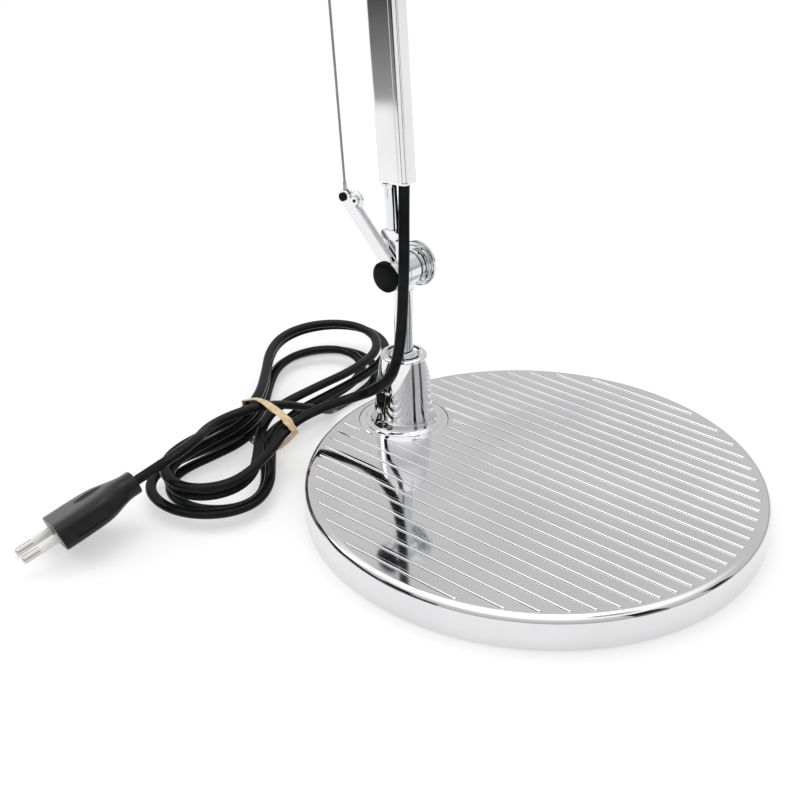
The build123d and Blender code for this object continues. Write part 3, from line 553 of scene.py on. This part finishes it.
def knob(name, pivot, y0, nodes):
    rings = [(3.05, 0), (8.3, 0), (8.5, 0.2), (8.5, 0.8), (8.2, 1.0), (7.0, 1.1), (7.0, 1.6),
             (9.8, 1.7), (10.2, 2.0), (10.2, 2.8), (9.9, 3.1), (9.4, 3.2), (9.4, 3.6),
             (11.5, 3.65), (12.0, 4.0), (12.0, 5.3), (11.7, 5.7), (11.2, 5.9), (9.0, 5.9),
             (8.6, 5.6), (6.0, 5.45), (5.6, 5.7), (5.2, 5.9), (0, 5.9), (0, 4.6), (3.05, 4.6)]
    section = [(r, y0 + z) for r, z in rings]
    return turned(name, section, pivot, "chrome_steel", nodes, axis="Y", angle=40)


cap("joint_cap", HUB, ["base_cap"])
cap("elbow_joint_cap", ELBOW, ["elbow_cap"])
cap("wrist_cap", WRIST, ["plate_caps"])
cap("tilt_cap", TILT, [], body="wrist")
knob("clamp_knob", HUB, 6.3, ["base_knob"])
knob("elbow_clamp_knob", ELBOW, 3.2, ["elbow_knob"])
knob("tilt_clamp_knob", TILT, -0.75, ["tilt_knob"])

# %% [markdown]
# ## Skins of the remaining parts
# The lever, the plates, the rods and blocks of the arms and the head already have their shape in the CAD.
# Their meshes are loose triangles, so each part gets a skin: a copy with its seams merged and its flat faces
# joined, its sharp edges eased a little where light should run along them, and smooth shading.

# %% Copy a CAD part as a skin
def skin(node, finish, edge):
    piece = add_object(node + "_skin", frame["nodes"][node].data.copy())
    take(piece)
    if piece.data.has_custom_normals:
        bpy.ops.mesh.customdata_custom_splitnormals_clear()
    edit(piece)
    bpy.ops.mesh.remove_doubles(threshold=1e-6)
    bpy.ops.mesh.dissolve_limited(angle_limit=math.radians(0.4))
    bpy.ops.object.mode_set(mode="OBJECT")
    if edge:
        soften(piece, edge, 50)
    shade(piece)
    return dress(piece, finish, node)


# Each row: the CAD node, its finish, and how far its sharp edges are eased, in millimetres.
SKINS = [
    ("ballast_plate", "ballast_steel", 0), ("base_pad", "black_rubber", 0),
    ("base_screws", "screw_steel", 0), ("swivel_post", "chrome_steel", 0),
    ("base_bolt", "screw_steel", 0), ("base_washers", "screw_steel", 0.15),
    ("horn_lever", "arm_alloy", 0.2), ("horn_pins", "black_gloss", 0),
    ("adjuster_wheel", "chrome_steel", 0), ("lower_foot", "polished_alloy", 0.25),
    ("lower_rod", "chrome_steel", 0.15), ("lower_ends", "polished_alloy", 0.2),
    ("lower_spring", "screw_steel", 0), ("elbow_plate", "arm_alloy", 0.2),
    ("elbow_pins", "black_gloss", 0), ("elbow_bolt", "screw_steel", 0),
    ("elbow_washers", "screw_steel", 0.15), ("upper_foot", "polished_alloy", 0.25),
    ("upper_rod", "chrome_steel", 0.15), ("upper_ends", "polished_alloy", 0.2),
    ("upper_spring", "screw_steel", 0), ("head_plate", "arm_alloy", 0.2),
    ("head_pin", "black_gloss", 0), ("plate_bolts", "screw_steel", 0),
    ("plate_washers", "screw_steel", 0.15), ("head_stem", "polished_alloy", 0.2),
    ("lamp_housing", "polished_alloy", 0), ("switch_body", "plug_black", 0),
    ("switch_button", "plug_black", 0), ("shade", "polished_alloy", 0),
    ("lampholder", "holder_white", 0.4), ("holder_contact", "cap_brass", 0),
    ("bulb_cap", "cap_brass", 0.2), ("bulb_glass", "bulb_glass", 0),
]
for node, finish, edge in SKINS:
    skin(node, finish, edge)

# %% [markdown]
# ## The arm profiles
# Each arm is a drawn aluminium tube with rounded corners and a thin groove near one edge of its face. A flat
# rectangle gets its corners bevelled, is extruded to the arm's length, and a fine blade cuts the groove.

# %% Profiles
ARM_WIDE, ARM_DEEP, ARM_CORNER, ARM_X = 18.0, 10.0, 2.4, 3.6
ARM_FROM, ARM_SHORTER = 48.0, 90.0
GROOVE_WIDE, GROOVE_X = 0.55, 8.6


def box(size, at):
    take(None)
    bpy.ops.mesh.primitive_cube_add(size=1)
    made = bpy.context.object
    made.scale = [v * MM for v in size]
    made.location = [v * MM for v in at]
    return done(made)


def make_arm(name, length, pivot, lean, middle, node):
    take(None)
    bpy.ops.mesh.primitive_plane_add(size=1)
    arm = bpy.context.object
    arm.scale = (ARM_WIDE * MM, ARM_DEEP * MM, 1)
    arm.location = (ARM_X * MM, middle * MM, ARM_FROM * MM)
    done(arm, name)
    edit(arm)
    bpy.ops.mesh.bevel(offset=ARM_CORNER * MM, segments=6, affect="VERTICES")
    bpy.ops.mesh.select_all(action="SELECT")
    bpy.ops.mesh.extrude_region_move(TRANSFORM_OT_translate={"value": (0, 0, (length - ARM_SHORTER) * MM)})
    face_outwards(arm)
    cut(arm, box((GROOVE_WIDE, 0.8, length * 2), (GROOVE_X, middle - ARM_DEEP / 2, 0)))
    arm.rotation_euler = (0, math.radians(lean), 0)
    arm.location = [v * MM for v in pivot]
    done(arm)
    return dress(shade(arm, 30), "arm_alloy", node)


make_arm("upper_arm_tube", UPPER_LEN, ELBOW, UPPER_LEAN, 0.4, "upper_profile")
make_arm("lower_arm_tube", LOWER_LEN, HUB, LOWER_LEAN, -4.4, "lower_profile")

# %% [markdown]
# ## The steel cables
# A control cable is laid from thin strands, and from close by its twist shows. Six strands start as small
# circles round a core, and each circle is carried along the arm while it turns. Each end goes into a pressed
# ferrule and a flat eye.

# %% Twisted cable
STRANDS, STRAND_R, LAY_R, CORE_R = 6, 0.235, 0.45, 0.3
LAY_PITCH, RINGS_PER_TURN = 9.0, 12
PIN_R, EYE_R, FERRULE_R, STRANDS_FROM, CABLE_Y = 1.35, 2.5, 1.0, 2.7, -11.65


def make_strands(length):
    circles = []
    for k in range(STRANDS):
        take(None)
        turn = 2 * math.pi * k / STRANDS
        bpy.ops.mesh.primitive_circle_add(
            vertices=7, radius=STRAND_R * MM, fill_type="NGON",
            location=(LAY_R * MM * math.cos(turn), LAY_R * MM * math.sin(turn), 0))
        circles.append(bpy.context.object)
    rope = done(join(circles))
    base = [v.co.copy() for v in rope.data.vertices]
    loops = [list(p.vertices) for p in rope.data.polygons]
    bpy.data.objects.remove(rope)
    rings, count = int(length / LAY_PITCH * RINGS_PER_TURN), len(base)
    points, faces = [], []
    for i in range(rings + 1):
        along = Matrix.Translation((0, 0, length * MM * i / rings))
        turn = Matrix.Rotation(2 * math.pi * i / RINGS_PER_TURN, 4, "Z") @ along
        points += [turn @ co for co in base]
    for loop in loops:
        faces.append(loop[::-1])
        faces.append([v + rings * count for v in loop])
        for i in range(0, rings * count, count):
            for a, b in zip(loop, loop[1:] + loop[:1]):
                faces.append([a + i, b + i, b + i + count, a + i + count])
    return mesh_piece("strands", points, faces)


def cross_disc(radius, half, height):
    # A short cylinder that lies along Y, as the pin does that it sits on.
    disc = cylinder(radius, -half, half)
    disc.rotation_euler.x = math.radians(90)
    disc.location.z = height * MM
    take(disc)
    return done(disc)


def make_cable(name, length, start, lean, node):
    bare = length - 2 * STRANDS_FROM
    parts = [make_strands(bare), cylinder(CORE_R, 0, bare, vertices=8)]
    for part in parts:
        part.location.z += STRANDS_FROM * MM
    for z, inwards in ((0.0, 1), (length, -1)):
        ferrule = cylinder(FERRULE_R, *sorted((z + inwards * 2.0, z + inwards * 7.0)), vertices=24)
        eye = cut(cross_disc(EYE_R, 0.6, z), cross_disc(PIN_R, 2, z))
        parts += [soften(ferrule, 0.2, 40), soften(eye, 0.2, 40)]
    for part in parts:
        take(part)
        done(part)
    cable = join(parts)
    cable.rotation_euler = (0, math.radians(lean), 0)
    cable.location = [v * MM for v in start]
    return dress(shade(done(cable, name), 40), "cable_steel", node)


def pin_of(pivot, across, up):
    return pivot[0] + across, CABLE_Y, pivot[2] + up


make_cable("lower_wire_rope", LOWER_LEN, pin_of(HUB, -28.0, 35.5), LOWER_LEAN, "lower_cable")
make_cable("upper_wire_rope", UPPER_LEN, pin_of(ELBOW, -14.0, 44.0), UPPER_LEAN, "upper_cable")

# %% [markdown]
# ## The flex
# The lead is a flat twin flex, 5.6 mm wide and 4 mm thick. Its line is a smooth NURBS spline that the route's
# points steer, close to the line that the CAD follows. The section is drawn along that spline with a chosen
# wide side: flat to the viewer beside the joint, and flat on the table in the bundle.

# %% Draw a flat flex along a route
FLEX_WIDE, FLEX_THICK = 5.6 * MM, 4.0 * MM


def smooth(x):
    x = min(max(x, 0.0), 1.0)
    return x * x * (3 - 2 * x)


def nurbs(name, places, resolution=12):
    # A line of order 3, which the points pull and which starts and ends on the outer two.
    curve = bpy.data.curves.new(name, "CURVE")
    curve.dimensions = "3D"
    curve.resolution_u = resolution
    spline = curve.splines.new("NURBS")
    spline.points.add(len(places) - 1)
    for point, place in zip(spline.points, places):
        point.co = (*place, 1.0)
    spline.order_u = 3
    spline.use_endpoint_u = True
    return add_object(name, curve)


def spline_points(route, resolution=12):
    holder = nurbs("route", [[v * MM for v in place] for place in route], resolution)
    bpy.context.view_layer.update()
    mesh = bpy.data.meshes.new_from_object(holder.evaluated_get(bpy.context.evaluated_depsgraph_get()))
    line = [v.co.copy() for v in mesh.vertices]
    bpy.data.objects.remove(holder)
    bpy.data.meshes.remove(mesh)
    return line


def oval(count=20):
    # Two half rounds joined by short flats, as a ring of (across, up) pairs.
    flat = (FLEX_WIDE - FLEX_THICK) / 2
    ring = []
    for k in range(count):
        a = 2 * math.pi * (k + 0.5) / count
        across = math.cos(a) * FLEX_THICK / 2
        ring.append((across + math.copysign(flat, across), math.sin(a) * FLEX_THICK / 2))
    return ring


def flex(name, line, nodes, wide_from=None, wide_to=None, body=None):
    # The wide side turns from one direction to the other. Without one, it lies level.
    ring = oval()
    points, faces = [], []
    for i, here in enumerate(line):
        tangent = (line[min(i + 1, len(line) - 1)] - line[max(i - 1, 0)]).normalized()
        level = Vector((0, 0, 1)).cross(tangent).normalized()
        share = smooth(i / (len(line) - 1))
        wide = (wide_from or level) * (1 - share) + (wide_to or level) * share
        wide = (wide - tangent * wide.dot(tangent)).normalized()
        thin = tangent.cross(wide)
        points += [here + wide * a + thin * b for a, b in ring]
    n = len(ring)
    for i in range(len(line) - 1):
        for k in range(n):
            a, b = i * n + k, i * n + (k + 1) % n
            faces.append((a, b, b + n, a + n))
    faces.append(tuple(range(n - 1, -1, -1)))
    faces.append(tuple(range((len(line) - 1) * n, len(line) * n)))
    piece = face_outwards(mesh_piece(name, points, faces))
    return dress(shade(piece, 60), "black_flex", *nodes, body=body)


# %% [markdown]
# ## The bundle
# The flex is folded in four loops over a waist. A formula gives the middle of the flex at each turn: the
# lobes differ in length and width, and each layer lies on the one below.

# %% The route of the bundle
# Length and half width of each lobe, in the order in which the flex runs through them.
LOBES = [(82, 22), (120, 31), (80, 21), (129, 34), (87, 30), (106, 25), (74, 25), (117, 31)]
FIRST, LAST, TURN_STEPS = 0.12, 3.915, 96
BUNDLE_AT, BUNDLE_TURN = (-147, -47), math.radians(109.3)
WAIST, WAIST_SWAY, WIDEST = 3.3, 6.0, 0.563
FLOOR_GAP, LAYER, LAYER_CHANGE, WAIST_LIFT, WAIST_REACH = 2.65, 5.75, 0.36, 1.4, 22
END_STUB = 5.2


def on_bundle(u, v, z):
    c, s = math.cos(BUNDLE_TURN), math.sin(BUNDLE_TURN)
    return Vector((BUNDLE_AT[0] + c * u - s * v, BUNDLE_AT[1] + s * u + c * v, z))


def bundle_point(t):
    lobe = min(int(t * 2), len(LOBES) - 1)
    s = t * 2 - lobe
    length, width = LOBES[lobe]
    side = -1 if lobe % 2 == 0 else 1
    x = math.sin(math.pi * s)
    u = side * length * x
    w = WAIST + WAIST_SWAY * (1 - abs(((t + 1) % 2) - 1))
    v = side * math.cos(math.pi * s) * (w + (width / WIDEST - w) * smooth(x))
    level = 3 - sum(smooth((t - c) / LAYER_CHANGE + 0.5) for c in (1, 2, 3))
    return on_bundle(u, v, FLOOR_GAP + LAYER * level + WAIST_LIFT * math.exp(-(u / WAIST_REACH) ** 2))


def bundle_heading(t):
    return (bundle_point(t + 1e-4) - bundle_point(t - 1e-4)).normalized()


route = [bundle_point(FIRST + (LAST - FIRST) * k / TURN_STEPS) for k in range(TURN_STEPS + 1)]
begin = route[0] - bundle_heading(FIRST) * END_STUB
end = route[-1] + bundle_heading(LAST) * END_STUB

# %% The flex from the arm to the plug
upper_route = [(-81.5, -4.4, 152.5), (-79.5, -7, 132), (-74.6, -12.6, 112), (-74, -14.5, 92)]
lower_route = [(-74, -14.5, 92), (-73.4, -16.4, 72), (-77, -19, 54), (-86, -20.8, 43.5), (-97.5, -27, 37),
               on_bundle(-3, -39, 31.5), on_bundle(-14, -28, 27), on_bundle(-27, -24.8, 23.6),
               begin - bundle_heading(FIRST) * 16, begin]
lead_route = [end, end + bundle_heading(LAST) * 13, on_bundle(30, -27, 9.5), on_bundle(14, -21, 18.7),
              on_bundle(-1, -10.5, 27), on_bundle(-17, 2, 28.6), on_bundle(-38, 10.5, 28.9),
              (-130.4, -107.5, 33.6), (-133, -126, 29.3)]

FACING = Vector((0.76, 0.65, 0.0))
upper_line = spline_points(upper_route, 10)
lower_line = spline_points(lower_route)
bundle_line = spline_points([begin] + route + [end], 8)
lead_line = spline_points(lead_route)

flex_upper = flex("flex_by_the_joint", upper_line, ["flex_upper"], FACING, FACING, body="")
flex_lower = flex("flex_to_the_bundle", lower_line, ["flex_lower"], FACING, None, body="")
bundle = flex("flex_bundle", bundle_line, ["flex_hank"])
lead = flex("flex_to_the_plug", lead_line, ["flex_lead"])
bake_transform(flex_upper)
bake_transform(flex_lower)

# %% [markdown]
# ## The rubber band
# The band crosses the waist over all layers. A thin loop follows the bundle's outline, and it is pinched and
# wavy, as a stretched rubber band is.

# %% Band round the waist
BAND = [(17.3, 3.5), (17.3, 21.1), (14.9, 24.5), (-0.5, 30.85), (-21.7, 30.85), (-27.3, 28.5), (-29.8, 26.2),
        (-30.2, 24.5), (-29.7, 22.9), (-12.7, 6.0), (-0.8, 1.05), (14.5, 1.05)]
BAND_AT, BAND_SLANT = (-7.0, -4.0), math.radians(30.7)
BAND_HALF, BAND_THICK, BAND_ROWS = 2.2, 0.7, 7


def on_band(u, v, z):
    # The band lies askew: its middle is beside the waist, and it is turned a little.
    c, s = math.cos(BAND_SLANT), math.sin(BAND_SLANT)
    return on_bundle(u * c + v * s + BAND_AT[0], v * c - u * s + BAND_AT[1], z)


def around(points, parts=8):
    closed = [points[-1]] + points + points[:2]
    line = []
    for four in zip(closed, closed[1:], closed[2:], closed[3:]):
        line += [between(four, k / parts) for k in range(parts)]
    return line


def make_band():
    # Waves of several lengths widen, shift and fold the strip as it goes round.
    loop = around(BAND)
    count = len(loop)
    points, faces = [], []
    for i, (v, z) in enumerate(loop):
        a = 2 * math.pi * i / count
        v0, z0 = loop[i - 1]
        v1, z1 = loop[(i + 1) % count]
        out = Vector((z0 - z1, v1 - v0)).normalized()
        half = BAND_HALF + 0.4 * math.sin(3 * a + 1) + 0.2 * math.sin(11 * a)
        shift = 0.6 * math.sin(2 * a + 0.6)
        for k in range(BAND_ROWS):
            across = k / (BAND_ROWS - 1) * 2 - 1
            fold = 0.22 + 0.16 * math.sin(9 * a + 2.2 * across) + 0.1 * math.sin(23 * a - 3 * across)
            points.append(on_band(shift + across * half, v + out.x * fold, z + out.y * fold) * MM)
    for i in range(count):
        for k in range(BAND_ROWS - 1):
            a, b = i * BAND_ROWS + k, ((i + 1) % count) * BAND_ROWS + k
            faces.append((a, a + 1, b + 1, b))
    band = face_outwards(mesh_piece("rubber_band", points, faces))
    modify(band, "SOLIDIFY", thickness=BAND_THICK * MM, offset=1.0)
    modify(band, "SUBSURF", levels=1, render_levels=1)
    take(band)
    bpy.ops.object.shade_smooth()
    return dress(band, "beige_band", "hank_band")


band = make_band()

# %% [markdown]
# ## The plug
# The flat plug is one soft block that narrows towards the flex and ends in a short collar. It is drawn as a
# row of rounded sections along its axis, and the sections are bridged. The two pins wear pale sleeves for
# half of their length.

# %% Plug, sleeves and pins
PLUG_AT = Vector((-146.7, -182.0, 11.3)) * MM
PLUG_AXIS = Vector((-0.227, -0.933, -0.30)).normalized()
PLUG_WIDE = Vector((0.876, -0.329, 0.36))
PLUG_WIDE = (PLUG_WIDE - PLUG_AXIS * PLUG_WIDE.dot(PLUG_AXIS)).normalized()
plug_sides = Matrix((PLUG_WIDE, PLUG_AXIS.cross(PLUG_WIDE), PLUG_AXIS)).transposed().to_4x4()
PLUG_FRAME = Matrix.Translation(PLUG_AT) @ plug_sides


def seat_on_plug(piece):
    piece.matrix_world = PLUG_FRAME @ piece.matrix_world
    take(piece)
    bpy.ops.object.transform_apply()
    return piece


# Each row is a section: place along the axis, width, thickness, and how square it is.
PLUG_ROWS = [
    (0.0, 34.6, 13.0, 5.0), (-0.4, 35.3, 13.7, 5.0), (-10.0, 35.3, 13.7, 5.0), (-19.0, 35.0, 13.7, 4.6),
    (-23.0, 34.4, 13.7, 4.2), (-26.0, 32.8, 13.6, 3.8), (-28.5, 30.0, 13.4, 3.4), (-31.0, 26.0, 13.1, 3.0),
    (-33.5, 21.6, 12.7, 2.8), (-35.5, 18.6, 12.3, 2.7), (-37.5, 16.6, 11.8, 2.6), (-39.5, 15.8, 11.4, 2.6),
    (-43.6, 15.8, 11.4, 2.6), (-44.0, 15.5, 11.1, 2.6), (-44.3, 14.6, 10.2, 2.5)]
MARK_SIZE, MARK_AT = (4.6, 1.3, 8.0), (-2.0, 7.1, -22.5)
SLOT_SIZE, SLOT_AT = (1.4, 6.4, 19.0), (17.4, 0, -16.5)
PIN_X = 9.5
PIN = [(0, -7.5), (2.0, -7.5), (2.0, 17.6), (1.7, 18.4), (1.1, 18.85), (0, 19.0)]
SLEEVE = [(0.0, -0.5), (2.0, -0.5), (2.12, -0.3), (2.12, 9.6), (2.0, 9.9), (0, 9.9)]


def place_ring(ring, row):
    z, width, thick, square = row
    for k, vertex in enumerate(ring):
        a = 2 * math.pi * k / len(ring)
        c, d = math.cos(a), math.sin(a)
        vertex.co = (math.copysign(abs(c) ** (2 / square), c) * width / 2 * MM,
                     math.copysign(abs(d) ** (2 / square), d) * thick / 2 * MM, z * MM)


def make_plug():
    # One circle for each section, placed on its row, and all of them bridged into one skin.
    circles = []
    for row in PLUG_ROWS:
        take(None)
        bpy.ops.mesh.primitive_circle_add(vertices=64, radius=0.01)
        place_ring(bpy.context.object.data.vertices, row)
        circles.append(bpy.context.object)
    body = join(circles)
    edit(body)
    bpy.ops.mesh.bridge_edge_loops()
    bpy.ops.mesh.select_all(action="SELECT")
    bpy.ops.mesh.fill_holes(sides=0)
    face_outwards(body)
    done(body, "plug")
    # The grip mark is an oval hollow in each broad side, and a slot runs along each narrow one.
    for side in (-1, 1):
        take(None)
        bpy.ops.mesh.primitive_uv_sphere_add(segments=40, ring_count=20, radius=1)
        mark = bpy.context.object
        mark.scale = [v * MM for v in MARK_SIZE]
        mark.location = (MARK_AT[0] * MM, side * MARK_AT[1] * MM, MARK_AT[2] * MM)
        cut(body, done(mark))
    for side in (-1, 1):
        cut(body, box(SLOT_SIZE, (side * SLOT_AT[0], SLOT_AT[1], SLOT_AT[2])))
    return shade(seat_on_plug(body), 38)


plug = dress(make_plug(), "plug_black", "plug_body")
tail_line = [PLUG_FRAME @ Vector((0, 0, -z * MM)) for z in (41, 46, 51, 56, 61.5)]
tail = flex("flex_at_the_plug", tail_line, [], body="base")
pins, sleeves = [], []
for letter, x in (("a", -PIN_X), ("b", PIN_X)):
    at = (x, 0, 0)
    pins.append(turned("plug_pin_" + letter, PIN, at, "pin_metal", ["plug_pins"], steps=32))
    sleeves.append(turned("pin_sleeve_" + letter, SLEEVE, at, "holder_white", [], "base", steps=32))
for piece in pins + sleeves:
    seat_on_plug(piece)
print("plug parts", 2 + len(pins) + len(sleeves))

# %% [markdown]
# ## The thin wire beside the rod
# A thin black wire comes out of the arm beside the chrome rod, runs down between rod and flex, and ends
# behind the flex at the joint. It rides on the arm.

# %% The wire
WIRE_R, WIRE_Y = 0.7, -7.9
WIRE = [(4.9, 46.8), (4.9, 40.0), (4.9, 32.0), (4.9, 26.0), (4.6, 21.5), (3.4, 17.5)]


def make_wire():
    lean = Matrix.Rotation(math.radians(LOWER_LEAN), 4, "Y")
    places = [Vector(HUB) * MM + lean @ Vector((x, WIRE_Y, z)) * MM for x, z in WIRE]
    wire = nurbs("thin_wire", places)
    wire.data.bevel_depth = WIRE_R * MM
    wire.data.bevel_resolution = 4
    wire.data.use_fill_caps = True
    take(wire)
    bpy.ops.object.convert(target="MESH")
    return dress(bpy.context.object, "black_gloss", "lower_sleeve")


make_wire()

[plug, tail] + pins + sleeves

# %% [markdown]
# ## The studio
# The lamp stands on a plain white floor. Metal shows nothing but its room, so the room matters: a soft grey
# low down, paler above it, and bright overhead, while the camera itself sees a white backdrop. Dark cards
# beside the picture give the arm and the socket their dark lines, and two soft lamps the highlights. To the
# camera and in the metal, half of the floor's light is a plain white glow, and the other half keeps the
# shadows.

# %% Floor
FLOOR_SIZE, FLOOR_GLOW = 14, 0.5
take(None)
bpy.ops.mesh.primitive_plane_add(size=FLOOR_SIZE)
floor = bpy.context.object
floor.name = "floor"
floor_finish, _ = new_finish("floor_white", Base_Color=(1, 1, 1, 1), Roughness=0.9)
tree = floor_finish.node_tree
floor_shader = tree.nodes["Principled BSDF"]
rays = tree.nodes.new("ShaderNodeLightPath")
seen = Signal(tree, rays.outputs["Is Camera Ray"]) + Signal(tree, rays.outputs["Is Glossy Ray"])
seen = (seen + Signal(tree, rays.outputs["Is Transmission Ray"])) * FLOOR_GLOW
glow = seen.node("ShaderNodeEmission", {}, {"Color": (1, 1, 1, 1), "Strength": 1.0})
both = seen.node("ShaderNodeMixShader", {}, {0: seen, 1: Signal(tree, floor_shader.outputs[0]), 2: glow})
tree.links.new(both.socket, tree.nodes["Material Output"].inputs["Surface"])
floor.data.materials.append(floor_finish)

# %% Room and lamps
world = bpy.data.worlds.new("studio")
bpy.context.scene.world = world
world.use_nodes = True
tree = world.node_tree
direction = Signal(tree, tree.nodes.new("ShaderNodeTexCoord").outputs["Generated"])
height = direction.node("ShaderNodeSeparateXYZ", {}, {0: direction}, out=2)
rise = step(height, 0.02, 0.35)
roof = step(height, 0.60, 0.85)
ROOM_LOW, ROOM_RISE, ROOM_ROOF = 0.42, 0.26, 0.62
room = rise * ROOM_RISE + roof * ROOM_ROOF + ROOM_LOW
camera_sees = direction.node("ShaderNodeLightPath", {}, {}, out=0)
room = room + camera_sees * (1 - room)
tree.links.new(room.socket, tree.nodes["Background"].inputs["Strength"])
tree.nodes["Background"].inputs["Color"].default_value = (1, 1, 1, 1)


def softbox(name, place, target, size, radiance):
    data = bpy.data.lights.new(name, "AREA")
    data.shape = "RECTANGLE"
    data.size, data.size_y = size
    data.energy = radiance * math.pi * size[0] * size[1]
    lamp = add_object(name, data)
    lamp.location = place
    lamp.rotation_euler = (Vector(target) - Vector(place)).to_track_quat("-Z", "Y").to_euler()
    return lamp


def card(name, place, size, shade_of_grey):
    # A card stands upright beside the lamp. The metal shows it as a dark line, and the camera never sees it.
    take(None)
    bpy.ops.mesh.primitive_plane_add(size=1)
    board = bpy.context.object
    board.name = name
    board.scale = (size[0], size[1], 1)
    board.rotation_euler = (math.radians(90), 0, math.atan2(place[1], place[0]) - math.radians(90))
    board.location = (place[0], place[1], place[2] + size[1] / 2)
    done(board)
    finish, spot = new_finish(name, Roughness=0.9, Specular_IOR_Level=0.1)
    low = step(spot.node("ShaderNodeSeparateXYZ", {}, {0: spot}, out=2), -0.02, 0.5 * size[1])
    plug_in(finish, Base_Color=mix_colour(low, (0.35, 0.35, 0.35), (shade_of_grey,) * 3))
    board.data.materials.append(finish)
    board.visible_camera = False
    board.visible_shadow = False
    board.visible_diffuse = False


card("dark_card_left", (-0.52, -0.61, 0.0), (1.2, 0.34), 0.01)
card("dark_card_back", (0.95, 0.55, 0.0), (0.25, 0.6), 0.02)
card("dark_card_front", (-0.19, -0.46, 0.0), (0.13, 0.30), 0.01)
card("dark_card_right", (0.36, -0.07, 0.0), (0.09, 0.26), 0.01)
softbox("softbox_over", (-0.25, 0.25, 1.5), (-0.05, 0, 0), (0.9, 0.9), 1.6)
softbox("softbox_left", (-1.1, -0.5, 0.7), (-0.05, 0, 0.1), (0.3, 1.0), 2.0)
bpy.context.scene.view_settings.view_transform = "Standard"
print("studio ready")

# %% Bring the scene up to date
bpy.context.view_layer.update()
